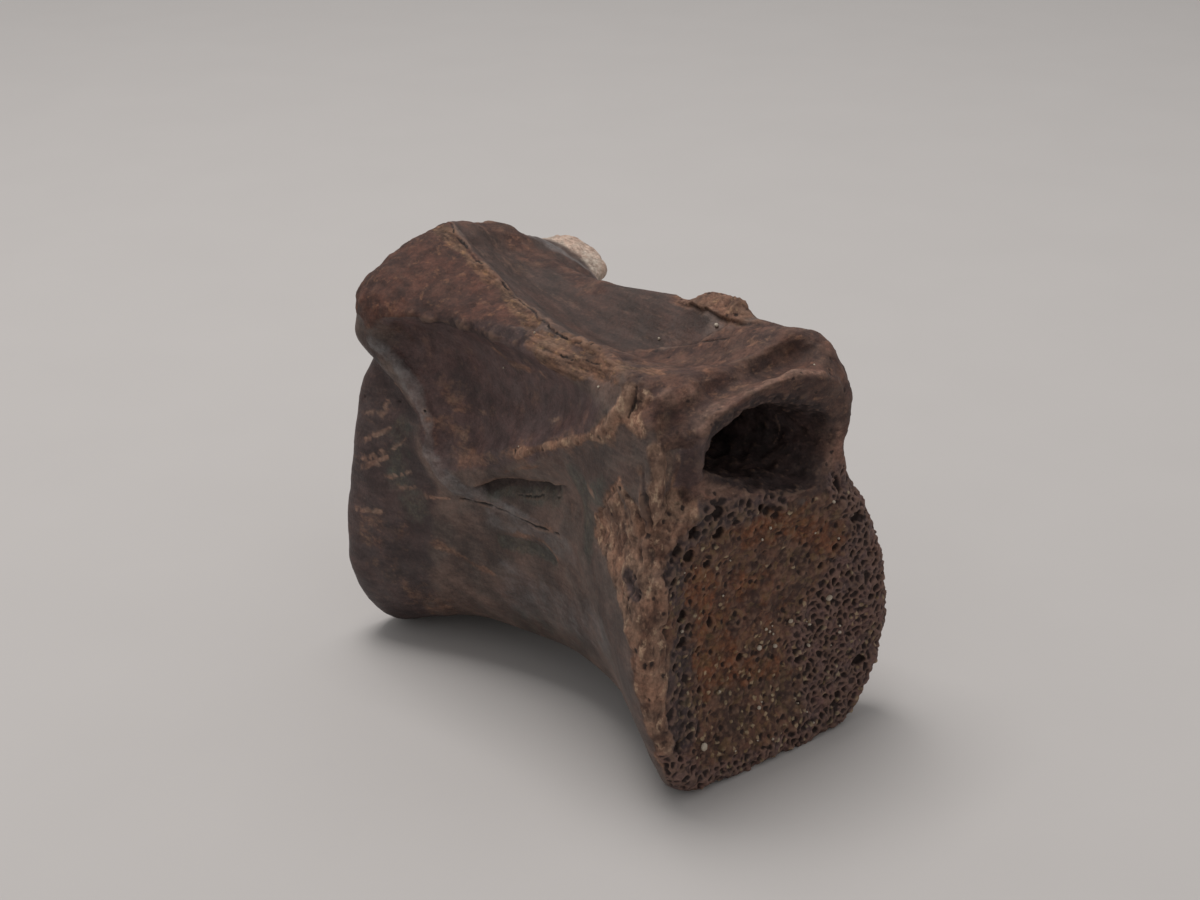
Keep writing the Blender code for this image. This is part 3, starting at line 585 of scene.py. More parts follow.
@dataclass(frozen=True)
class Noise:
    """Repeatable noise through space: lattice size in mm, seed, and a stretch along each axis."""

    size: float
    seed: int
    stretch: Point = (1.0, 1.0, 1.0)

    def lattice(self, points: Array) -> tuple[Array, Array]:
        """Finds each point's lattice cell.

        Args:
            points: The points, in mm.

        Returns:
            The whole-number cells, and the points' places inside them from 0 to 1.
        """
        scaled = points / (self.size * np.array(self.stretch))
        cell = np.floor(scaled)
        return cell, scaled - cell

    def value(self, points: Array) -> Array:
        """Smooth noise.

        Args:
            points: Where to read it.

        Returns:
            A value from -1 to 1 at each point.
        """
        cell, inside = self.lattice(points)
        fade = inside * inside * (3 - 2 * inside)
        total = np.zeros(len(points))
        for corner in np.ndindex(2, 2, 2):
            weight = np.prod(np.where(np.array(corner) == 1, fade, 1 - fade), axis=1)
            total += weight * scatter(cell + corner, self.seed)
        return total * 2 - 1

    def fractal(self, points: Array, octaves: int = 3) -> Array:
        """Sum of ever finer noise, each octave half the size and height of the one before.

        Args:
            points: Where to read it.
            octaves: How many sizes are summed.

        Returns:
            Values from about -1 to 1.
        """
        total = np.zeros(len(points))
        for octave in range(octaves):
            finer = Noise(self.size / 2**octave, self.seed + octave, self.stretch)
            total += finer.value(points) / 2**octave
        return total / FRACTAL_SPAN

    def cells(self, points: Array) -> tuple[Array, Array, Array]:
        """Irregular cells, as in sponge or crumb.

        Args:
            points: Where to read them.

        Returns:
            Distance to the nearest and second nearest cell centre, as shares of the size, and a
            random number from 0 to 1 for the nearest cell.
        """
        cell, inside = self.lattice(points)
        nearest = np.full(len(points), np.inf)
        second = np.full(len(points), np.inf)
        identity = np.zeros(len(points))
        for offset in np.ndindex(3, 3, 3):
            step = np.array(offset) - 1
            other = cell + step
            centre = np.stack([scatter(other, self.seed + axis) for axis in range(3)], axis=1)
            distance = np.linalg.norm(step + centre - inside, axis=1)
            closer = distance < nearest
            second = np.where(closer, nearest, np.minimum(second, distance))
            identity = np.where(closer, scatter(other, self.seed + IDENTITY_SEED), identity)
            nearest = np.where(closer, distance, nearest)
        return nearest, second, identity


def ease(value: Array, low: float, high: float) -> Array:
    """0 below low, 1 above high, and a smooth rise between them."""
    share = np.clip((value - low) / (high - low), 0, 1)
    return share * share * (3 - 2 * share)


def nearest_on_path(points: Array, path: Path) -> tuple[Array, Array, Array]:
    """How a path passes each point.

    Args:
        points: The points, in mm.
        path: The corners of the path, in mm.

    Returns:
        Distance to the path, the nearest place on it, and the path's direction there.
    """
    corners = np.array(path, float)
    distance = np.full(len(points), np.inf)
    place = np.zeros_like(points)
    direction = np.zeros_like(points)
    for start, end in zip(corners, corners[1:]):
        along = end - start
        share = np.clip((points - start) @ along / (along @ along), 0, 1)
        foot = start + share[:, None] * along
        gap = np.linalg.norm(points - foot, axis=1)
        closer = gap < distance
        distance = np.where(closer, gap, distance)
        place[closer] = foot[closer]
        direction[closer] = along / np.linalg.norm(along)
    return distance, place, direction


def close_to(points: Array, path: Path, reach: float) -> Array:
    """Picks the points that a path can touch.

    Args:
        points: The points, in mm.
        path: The corners of the path.
        reach: How far the path's box is grown.

    Returns:
        Indices of the points inside that box.
    """
    corners = np.array(path, float)
    inside = (points > corners.min(axis=0) - reach) & (points < corners.max(axis=0) + reach)
    return np.nonzero(inside.all(axis=1))[0]


def inside_outline(points: Array, outline: tuple[Pair, ...]) -> Array:
    """Signed distance in mm to a closed outline, above zero inside it.

    Args:
        points: Points with two columns.
        outline: The outline's corners, in order.

    Returns:
        One distance for each point.
    """
    corners = np.array(outline, float)
    distance = np.full(len(points), np.inf)
    inside = np.zeros(len(points), bool)
    for start, end in zip(corners, np.roll(corners, -1, axis=0)):
        along = end - start
        share = np.clip((points - start) @ along / (along @ along), 0, 1)
        distance = np.minimum(distance, np.linalg.norm(points - start - share[:, None] * along, axis=1))
        crosses = (start[1] > points[:, 1]) != (end[1] > points[:, 1])
        rise = along[1] if along[1] else 1.0
        inside ^= crosses & (points[:, 0] < start[0] + along[0] * (points[:, 1] - start[1]) / rise)
    return np.where(inside, distance, -distance)


class Neighbours:
    """Which points of a mesh share an edge, so that values can be blurred along its surface."""

    def __init__(self, mesh: bpy.types.Mesh) -> None:
        """Reads the mesh's edges.

        Args:
            mesh: The mesh whose points are blurred.
        """
        ends = np.empty(len(mesh.edges) * 2, np.int32)
        mesh.edges.foreach_get("vertices", ends)
        ends = ends.reshape(-1, 2)
        self.sources = np.concatenate([ends[:, 0], ends[:, 1]])
        self.targets = np.concatenate([ends[:, 1], ends[:, 0]])
        self.size = len(mesh.vertices)
        self.count = np.maximum(np.bincount(self.sources, minlength=self.size), 1)[:, None]

    def blurred(self, field: Array, passes: int) -> Array:
        """A field after each point has moved halfway to its neighbours' mean, several times.

        Args:
            field: A row of values for each point.
            passes: How often the points move.

        Returns:
            The blurred field.
        """
        for _ in range(passes):
            summed = [np.bincount(self.sources, column[self.targets], self.size) for column in field.T]
            field = (field + np.stack(summed, axis=1) / self.count) / 2
        return field


def points_of(mesh: bpy.types.Mesh) -> Array:
    """Reads a mesh's points.

    Args:
        mesh: The mesh.

    Returns:
        Its points as three columns.
    """
    flat = np.empty(len(mesh.vertices) * 3)
    mesh.vertices.foreach_get("co", flat)
    return flat.reshape(-1, 3)


class Skin:
    """The bone's skin while it is worked: a fine mesh in mm, with a height and masks at each point.

    edge_noises are what makes the masks' edges ragged, each with its octaves and share, and
    wander_noises bend paths off their straight runs along x, y and z. overrun is how many reaches
    away a ragged stroke can still show, and eased the share of its reach over which it fades in.
    facing and inward are the windows in which a patch and a hollow stroke accept the skin's
    direction. crack_noise opens and closes a crack along its length by crack_swing to either side
    of crack_middle, and never below crack_least of its depth. crack_shade_width is how much wider than the
    crack its painted shade is, and crack_wall and crack_shade_fade are the shares of the half width over
    which its walls fall and its painted shade thickens. step_edge is the half width of a step's own
    slope in mm. The fold values shape a fold's flanks. feel_scales are the blur passes at which
    raised and sunk ground is felt, each with the height in mm that counts in full; raised ground is
    later paled with wear and a painted highlight, and sunk ground darkened with painted shade.
    """

    edge_noises = ((Noise(2.6, 11), 3, 0.6), (Noise(8.0, 12), 2, 0.8))
    wander_noises = (Noise(3.2, 21), Noise(3.2, 22), Noise(3.2, 23))
    overrun = 1.6
    eased = 0.75
    facing = (0.1, 0.45)
    inward = (0.0, 0.35)
    crack_noise = Noise(5.0, 31)
    crack_middle = 0.7
    crack_swing = 0.7
    crack_least = 0.12
    crack_wall = 0.8
    crack_shade_width = 1.15
    crack_shade_fade = 0.6
    step_edge = 0.25
    fold_wander = 0.4
    fold_ease = 1.3
    fold_overrun = 1.5
    feel_scales = ((5, 0.12), (30, 0.45))

    def __init__(self, mesh: bpy.types.Mesh) -> None:
        """Takes over a mesh.

        Args:
            mesh: A fine closed mesh in mm.
        """
        self.mesh = mesh
        self.points = points_of(mesh)
        self.normals = np.empty(self.points.size)
        mesh.vertex_normals.foreach_get("vector", self.normals)
        self.normals = self.normals.reshape(-1, 3)
        self.height = np.zeros(len(self.points))
        self.areas: dict[Area, Array] = {}
        self.marks = {mark: np.zeros(len(self.points)) for mark in Mark}
        self.ragged = np.zeros(len(self.points))
        for noise, octaves, share in self.edge_noises:
            self.ragged += noise.fractal(self.points, octaves) * share
        self.wander = np.stack([noise.fractal(self.points, 3) for noise in self.wander_noises], axis=1)

    def band(self, stroke: Stroke) -> Array:
        """Strength of a stroke at each point.

        Args:
            stroke: The band to lay over the skin.

        Returns:
            Its strength on the path, easing to 0 at its reach.
        """
        found = np.zeros(len(self.points))
        near = close_to(self.points, stroke.path, stroke.reach * self.overrun)
        distance, place, _ = nearest_on_path(self.points[near], stroke.path)
        distance += self.ragged[near] * stroke.ragged * stroke.reach
        share = ease(1 - distance / stroke.reach, 0.0, self.eased)
        if stroke.hollow:
            inward = place - self.points[near]
            inward /= np.linalg.norm(inward, axis=1, keepdims=True) + 1e-9
            share *= ease((inward * self.normals[near]).sum(axis=1), *self.inward)
        found[near] = share * stroke.strength
        return found

    def ground(self, patch: Patch) -> Array:
        """Strength of a patch at each point.

        Args:
            patch: The outline to fill.

        Returns:
            Its strength inside the outline, easing to 0 across the soft edge.
        """
        across, up, depth = patch.plane.value
        distance = inside_outline(self.points[:, [across, up]], patch.outline)
        share = ease(distance + self.ragged * patch.ragged, -patch.soft / 2, patch.soft / 2)
        facing = self.normals @ (np.array(patch.facing) / np.linalg.norm(patch.facing))
        low, high = patch.span
        within = (self.points[:, depth] > low) & (self.points[:, depth] < high)
        return share * ease(facing, *self.facing) * within * patch.strength

    def survey(self) -> None:
        """Fills every area's mask."""
        for area, shapes in AREAS.items():
            total = np.zeros(len(self.points))
            for shape in shapes:
                strength = self.band(shape) if isinstance(shape, Stroke) else self.ground(shape)
                total = np.maximum(total, strength)
            self.areas[area] = total
        for start, end, reach in DASHES:
            dash = self.band(Stroke((start, end), reach, ragged=DASH_RAGGED))
            self.areas[Area.DASH] = np.maximum(self.areas[Area.DASH], dash)

    def mark(self, mark: Mark, where: Array, values: Array) -> None:
        """Adds values from 0 to 1 to a mark at the given points, keeping what is already stronger."""
        self.marks[mark][where] = np.maximum(self.marks[mark][where], np.clip(values, 0, 1))

    def split(self, crack: Crack) -> None:
        """Cuts one crack into the skin.

        Args:
            crack: Where it runs, and how wide and deep it is.
        """
        near = close_to(self.points, crack.path, crack.width + crack.wander * 2)
        wandering = self.points[near] + self.wander[near] * crack.wander
        distance, _, _ = nearest_on_path(wandering, crack.path)
        swing = self.crack_noise.value(self.points[near]) * self.crack_swing
        along = np.clip(swing + self.crack_middle, self.crack_least, 1.0)
        self.height[near] -= ease(1 - distance / crack.width, 0.0, self.crack_wall) * along * crack.depth
        # Painted shade along the crack, a little wider than it.
        crack_darkening = ease(1 - distance / (crack.width * self.crack_shade_width), 0.0, self.crack_shade_fade)
        self.mark(Mark.CRACK, near, crack_darkening * along)

    def step_up(self, step: Step) -> None:
        """Raises one side of an edge and lowers the other.

        Args:
            step: Where the edge runs, and which side is high.
        """
        near = close_to(self.points, step.path, step.reach + step.wander * 2)
        wandering = self.points[near] + self.wander[near] * step.wander
        distance, place, direction = nearest_on_path(wandering, step.path)
        across = np.cross(direction, self.normals[near])
        across *= np.sign(across @ np.array(step.high))[:, None]
        side = ((wandering - place) * across).sum(axis=1)
        fade = ease(1 - distance / step.reach, 0.0, 1.0)
        self.height[near] += (ease(side, -self.step_edge, self.step_edge) - 0.5) * step.rise * fade

    def fold_up(self, fold: Fold) -> None:
        """Raises a soft ridge, or sinks a groove.

        Args:
            fold: Where it runs, how wide it is and how high.
        """
        near = close_to(self.points, fold.path, fold.reach * self.fold_overrun)
        wandering = self.points[near] + self.wander[near] * self.fold_wander
        distance, _, _ = nearest_on_path(wandering, fold.path)
        self.height[near] += ease(1 - distance / (fold.reach * self.fold_ease), 0.0, 1.0) * fold.rise

    def feel(self, neighbours: Neighbours, worked: Array) -> None:
        """Marks what stands proud of the ground around it, and what lies below it.

        Args:
            neighbours: The skin's own neighbours.
            worked: The points after carving.
        """
        everywhere = np.arange(len(worked))
        for passes, span in self.feel_scales:
            proud = ((worked - neighbours.blurred(worked, passes)) * self.normals).sum(axis=1) / span
            # Raised ground later takes wear and a painted highlight, and sunk ground painted shade.
            self.mark(Mark.RAISED, everywhere, proud)
            self.mark(Mark.SUNK, everywhere, -proud)


@dataclass
class Carver:
    """Works relief into the skin, one texture at a time.

    touched is the weakest mask that is still carved. fibre and crumb are how high a fibre's back and
    a crumb's top stand, and how fast they fall away. pit_size is a pit's radius as a share of its
    cell and pit_rim how much of that slopes, and wall is where the slope beside the wall between two
    open cells starts and ends. The wanders are how far in mm the holes are pulled out of round, and
    the fades the windows of the mask in which they reach their depth. opening is the span of a
    cell's number over which it opens, shallowest the least share of the depth that an open cell has,
    and pit_shade how strong a pit's painted shade is. leaves is how many flat leaves a layer's noise
    spans to either side, and leaf_edge the share of a leaf that is flat before its broken edge.
    """

    skin: Skin
    touched: float = 0.03
    fibre: Pair = (0.6, 2.2)
    crumb: Pair = (0.7, 1.4)
    pit_size: float = 0.52
    pit_rim: float = 0.3
    pit_wander: float = 0.3
    pit_fade: Pair = (0.1, 0.6)
    pit_shade: float = 0.9
    wall: Pair = (0.1, 0.42)
    wall_wander: float = 0.45
    wall_fade: Pair = (0.15, 0.7)
    shallowest: float = 0.5
    opening: float = 0.1
    leaves: int = 3
    leaf_edge: float = 0.72

    def carve(self, texture: Texture, seed: int) -> None:
        """Adds one texture to the skin's height.

        Args:
            texture: What to carve, and where.
            seed: Chooses its pattern.
        """
        skin = self.skin
        mask = np.ones(len(skin.points)) if texture.area is None else skin.areas[texture.area]
        where = np.nonzero(mask > self.touched)[0]
        noise = Noise(texture.size, seed, texture.stretch)
        points = skin.points[where]
        strength = mask[where]
        match texture.kind:
            case Kind.BUMP:
                shape = noise.fractal(points, 4)
            case Kind.FIBRE:
                shape = self.fibre[0] - self.fibre[1] * np.abs(noise.fractal(points, 3))
            case Kind.LAYER:
                shape = self.layers(noise.fractal(points, 3))
            case Kind.CRUMB:
                shape = self.crumb[0] - self.crumb[1] * noise.cells(points)[0]
            case Kind.PIT:
                nearest, _, identity = noise.cells(points + skin.wander[where] * self.pit_wander)
                hole = ease(self.pit_size - nearest, 0.0, self.pit_rim) * ease(strength, *self.pit_fade)
                hole *= ease(identity, texture.closed, texture.closed + self.opening)
                # The pit's mark brings out painted shade in the finish.
                skin.mark(Mark.PIT, where, hole * self.pit_shade)
                shape = -hole
            case Kind.CELL:
                nearest, second, identity = noise.cells(points + skin.wander[where] * self.wall_wander)
                hole = ease(second - nearest, *self.wall)
                hole *= self.shallowest + (1 - self.shallowest) * identity
                opened = ease(identity, texture.closed, texture.closed + self.opening)
                hole *= opened * ease(strength, *self.wall_fade)
                # The open cell's mark brings out painted shade in the finish.
                skin.mark(Mark.PIT, where, hole)
                shape = -hole
        skin.height[where] += shape * texture.height * strength

    def layers(self, noise: Array) -> Array:
        """Turns smooth noise into flat leaves with sharp broken edges.

        Args:
            noise: Values from about -1 to 1.

        Returns:
            Stepped values from about -1.5 to 1.5.
        """
        scaled = noise * self.leaves
        whole = np.floor(scaled)
        return (whole + ease(scaled - whole, self.leaf_edge, 1.0)) / 2


@dataclass
class SpongyEnd:
    """The worn end's own features, in mm: its wide pores, and crumbs of pale mineral in its crust.

    pore_wander is how far the pores are pulled out of round, pore_rim how much wider than its radius
    a pore's broken rim is, and pore_slope the share of the radius that slopes. crumbs is the noise
    whose cells hold the crumbs, crumb_size a crumb's radius as a share of its cell and crumb_slope
    how much of that slopes. low is the heights between which they thin out to fewest, and share how
    many cells hold one in the lowest part.
    """

    touched: float = 0.05
    pore_depth: float = 1.15
    pore_wander: float = 0.4
    pore_rim: float = 1.15
    pore_slope: float = 0.5
    crumbs: Noise = Noise(1.15, 83)
    crumb_height: float = 0.22
    crumb_size: float = 0.5
    crumb_slope: float = 0.2
    low: Pair = (20.0, 40.0)
    fewest: float = 0.2
    share: float = 0.24

    def carve(self, skin: Skin) -> None:
        """Opens the wide pores and sets the crumbs.

        Args:
            skin: The skin, with its areas filled.
        """
        face = skin.areas[Area.SPONGE]
        where = np.nonzero(face > self.touched)[0]
        points = skin.points[where] + skin.wander[where] * self.pore_wander
        for x, z, radius in PORES:
            gap = np.hypot(points[:, 0] - x, points[:, 2] - z)
            pore = ease(self.pore_rim - gap / radius, 0.0, self.pore_slope) * face[where]
            skin.height[where] -= pore * self.pore_depth
            # The pore's mark brings out painted shade in the finish.
            skin.mark(Mark.PIT, where, pore)
        nearest, _, identity = self.crumbs.cells(skin.points[where])
        density = self.share * (1 - ease(skin.points[where, 2], *self.low) * (1 - self.fewest))
        chosen = ease(identity, 1 - density, 1.01 - density)
        crumb = ease(self.crumb_size - nearest, 0.0, self.crumb_slope) * chosen * face[where]
        skin.height[where] += crumb * self.crumb_height
        skin.mark(Mark.GRAIN, where, crumb)
        LOG.info("spongy end: %d points worked, %d wide pores", len(where), len(PORES))


@dataclass
class FossilBone:
    """The vertebra's visible skin.

    facet_voxel and fine_voxel are the mesh steps in mm for rounding off the solid's facets and for
    carving, facet_passes and fine_passes how long each mesh is rounded, seeds the first texture's
    seed and the step to the next, and triangles the count that is kept.
    """

    facet_voxel: float = 0.6
    fine_voxel: float = 0.32
    facet_passes: int = 14
    fine_passes: int = 3
    seeds: tuple[int, int] = (300, 5)
    triangles: int = 197000
    name: str = "vertebra_skin"

    def remeshed(self, mesh: bpy.types.Mesh, step: float) -> bpy.types.Mesh:
        """An even mesh of small squares over the same surface.

        Args:
            mesh: A closed mesh in mm.
            step: The squares' size in mm.

        Returns:
            A new mesh in mm.
        """
        obj = bpy.data.objects.new("remesh", mesh)
        bpy.context.scene.collection.objects.link(obj)
        modifier = obj.modifiers.new("remesh", "REMESH")
        modifier.mode = "VOXEL"
        modifier.voxel_size = step
        return self.evaluated(obj)

    def evaluated(self, obj: bpy.types.Object) -> bpy.types.Mesh:
        """Applies an object's modifiers and removes the object.

        Args:
            obj: A scratch object in the scene.

        Returns:
            Its mesh with the modifiers applied.
        """
        graph = bpy.context.evaluated_depsgraph_get()
        made = bpy.data.meshes.new_from_object(obj.evaluated_get(graph), depsgraph=graph)
        bpy.data.objects.remove(obj)
        return made

    def rounded(self, mesh: bpy.types.Mesh, passes: int) -> Neighbours:
        """Rounds off the facets without shrinking the form.

        Args:
            mesh: The mesh to round, in place.
            passes: How often each point moves halfway to the middle of its neighbours.

        Returns:
            The mesh's neighbours, for more blurring.
        """
        neighbours = Neighbours(mesh)
        points = points_of(mesh)
        soft = neighbours.blurred(points, passes)
        soft += neighbours.blurred(points - soft, passes)
        mesh.vertices.foreach_set("co", soft.ravel())
        mesh.update()
        return neighbours

    def carved(self, skin: Skin) -> Array:
        """Works every kind of ground, and the edges and cracks that cross it.

        Args:
            skin: The skin before carving.

        Returns:
            The skin's points after carving, none of them below the floor.
        """
        skin.survey()
        carver = Carver(skin)
        for number, texture in enumerate(TEXTURES):
            carver.carve(texture, self.seeds[0] + number * self.seeds[1])
        SpongyEnd().carve(skin)
        for fold in FOLDS:
            skin.fold_up(fold)
        for step in STEPS:
            skin.step_up(step)
        for crack in CRACKS:
            skin.split(crack)
        LOG.info("worn skin: %d textures, %d folds, %d steps, %d cracks", len(TEXTURES), len(FOLDS),
                 len(STEPS), len(CRACKS))
        worked = skin.points + skin.normals * skin.height[:, None]
        worked[:, 2] = np.maximum(worked[:, 2], 0.0)
        return worked

    def reduced(self, mesh: bpy.types.Mesh) -> bpy.types.Mesh:
        """Thins the carved mesh out where it is smooth.

        Args:
            mesh: The carved mesh, all squares.

        Returns:
            A new mesh with about the number of triangles to keep.
        """
        obj = bpy.data.objects.new("carved", mesh)
        bpy.context.scene.collection.objects.link(obj)
        modifier = obj.modifiers.new("reduce", "DECIMATE")
        modifier.ratio = self.triangles / (2 * len(mesh.polygons))
        modifier.use_collapse_triangulate = True
        return self.evaluated(obj)

    def build(self) -> bpy.types.Object:
        """Makes the skin around the frame's solid and dresses it.

        Returns:
            The new object, in metres, riding on the body in place of the solid.
        """
        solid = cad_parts[NODE].data.copy()
        solid.materials.clear()
        solid.transform(Matrix.Scale(1 / MM, 4))
        coarse = self.remeshed(solid, self.facet_voxel)
        self.rounded(coarse, self.facet_passes)
        fine = self.remeshed(coarse, self.fine_voxel)
        neighbours = self.rounded(fine, self.fine_passes)
        LOG.info("fine skin: %d points", len(fine.vertices))

        skin = Skin(fine)
        worked = self.carved(skin)
        skin.feel(neighbours, worked)
        fine.vertices.foreach_set("co", worked.ravel())
        for key, values in [*skin.areas.items(), *skin.marks.items()]:
            attribute = fine.attributes.new(key.value, "FLOAT", "POINT")
            attribute.data.foreach_set("value", values.astype(np.float32))
        fine.update()

        mesh = self.reduced(fine)
        mesh.name = self.name
        mesh.transform(Matrix.Scale(MM, 4))
        mesh.shade_smooth()
        mesh.materials.clear()
        mesh.materials.append(FossilBoneFinish().material())
        obj = bpy.data.objects.new(self.name, mesh)
        bpy.context.scene.collection.objects.link(obj)
        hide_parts(NODE)
        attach(obj, BODY)
        LOG.info("%s: %d triangles", self.name, len(mesh.polygons))
        return obj


@dataclass
class SandGrains:
    """Pale quartz grains that sit in the worn end's pores, and a few specks stuck elsewhere.

    scattered is how many small ones are strewn besides the named ones, across and up the ranges of
    x and z in mm, small their radius in mm and sizes its spread. Each is dropped onto the face from
    drop_from, and kept where the skin there faces the worn end's way by at least square_on. sink is
    the share of a grain's radius that is below the skin, squash the range of its three proportions,
    and uneven how far in mm its points are moved.
    """

    scattered: int = 22
    across: Pair = (-24.0, 28.0)
    up: Pair = (4.0, 54.0)
    small: float = 0.24
    sizes: Pair = (0.7, 1.5)
    drop_from: float = -80.0
    square_on: float = 0.2
    sink: float = 0.35
    squash: Pair = (0.65, 1.15)
    uneven: float = 0.02
    seed: int = 5
    name: str = "sand_grains"

    def build(self, bone: bpy.types.Object) -> bpy.types.Object:
        """Sets each grain on the bone's face.

        Args:
            bone: The finished skin.

        Returns:
            One object with all the grains.
        """
        random = np.random.default_rng(self.seed)
        places = list(GRAINS)
        for _ in range(self.scattered):
            x, z = random.uniform(*self.across), random.uniform(*self.up)
            places.append((x, z, self.small * random.uniform(*self.sizes)))
        tree = BVHTree.FromObject(bone, bpy.context.evaluated_depsgraph_get())
        mesh = bmesh.new()
        for x, z, radius in places:
            place, normal, _, _ = tree.ray_cast(Vector((x, self.drop_from, z)) * MM, Vector((0, 1, 0)))
            if place is not None and normal.y < -self.square_on:
                self.set_grain(mesh, random, place, normal, radius)
        for point, radius in DUST:
            place, normal, _, _ = tree.find_nearest(Vector(point) * MM)
            self.set_grain(mesh, random, place, normal, radius)
        for vert in mesh.verts:
            vert.co += Vector(random.normal(size=3)) * self.uneven * MM
        bmesh.ops.recalc_face_normals(mesh, faces=mesh.faces)
        data = bpy.data.meshes.new(self.name)
        mesh.to_mesh(data)
        mesh.free()
        data.materials.append(QuartzFinish().material())
        obj = bpy.data.objects.new(self.name, data)
        bpy.context.scene.collection.objects.link(obj)
        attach(obj, BODY)
        LOG.info("%s: %d grains", self.name, len(places) + len(DUST))
        return obj

    def set_grain(self, mesh: bmesh.types.BMesh, random: np.random.Generator, place: Vector,
                  normal: Vector, radius: float) -> None:
        """Adds one uneven grain, part sunk into the skin.

        Args:
            mesh: The mesh that takes it.
            random: Gives its turn and its proportions.
            place: Where it sits on the skin, in metres.
            normal: The skin's direction there.
            radius: Its radius in mm.
        """
        turn = Matrix.Rotation(random.uniform(0, math.tau), 4, random.normal(size=3))
        shape = Matrix.Diagonal((*random.uniform(*self.squash, 3), 1))
        centre = place + normal * radius * (1 - self.sink) * MM
        matrix = Matrix.Translation(centre) @ turn @ shape
        bmesh.ops.create_icosphere(mesh, subdivisions=2, radius=radius * MM, matrix=matrix)


def linear(colour: str) -> tuple[float, float, float, float]:
    """Turns an sRGB hex colour linear.

    Args:
        colour: A colour such as "#8c6b58".

    Returns:
        Red, green, blue and alpha.
    """
    parts = [int(colour[i : i + 2], 16) / 255 for i in (1, 3, 5)]
    red, green, blue = (c / 12.92 if c <= 0.04045 else ((c + 0.055) / 1.055) ** 2.4 for c in parts)
    return red, green, blue, 1.0


def per_mm(size: float) -> float:
    """A noise scale, in cells per metre, for cells of this size in mm."""
    return 1 / (size * MM)


class Nodes:
    """A material's node tree, filled one node at a time."""

    def __init__(self, name: str) -> None:
        """Starts an empty material.

        Args:
            name: The material's name.
        """
        self.material = bpy.data.materials.new(name)
        self.material.use_nodes = True
        self.tree = self.material.node_tree
        self.tree.nodes.clear()

    def add(self, kind: str, inputs: dict[str | int, object] | None = None,
            **settings: object) -> bpy.types.Node:
        """Adds a node with its settings and links.

        Args:
            kind: Blender's name for the node type.
            inputs: Socket name or number to a value, or to the output socket that feeds it.
            settings: The node's own properties.

        Returns:
            The new node.
        """
        node = self.tree.nodes.new(kind)
        for key, value in settings.items():
            setattr(node, key, value)
        for key, value in (inputs or {}).items():
            if isinstance(value, Socket):
                self.tree.links.new(value, node.inputs[key])
            else:
                node.inputs[key].default_value = value
        return node


@dataclass(frozen=True)
class Stain:
    """How one kind of ground looks.

    dark and light are its colours, grain the size in mm of the mottling between them, rough its
    roughness, fleck the colour of its scattered flecks, ragged how much noise breaks up its edge,
    and cover how fully it hides what is under it. stretch lengthens its mottling along x, y and z.
    """

    area: Area
    dark: str
    light: str
    grain: float
    rough: float
    fleck: str
    ragged: float = 0.6
    cover: float = 1.0
    stretch: Point = (1.0, 1.0, 1.0)


@dataclass(frozen=True)
class Coat:
    """A colour that the carving's marks bring out.

    window is where in the mark it starts and where it is full, and cover how fully it hides what is
    under it.
    """

    mark: Mark
    colour: str
    window: Pair
    cover: float


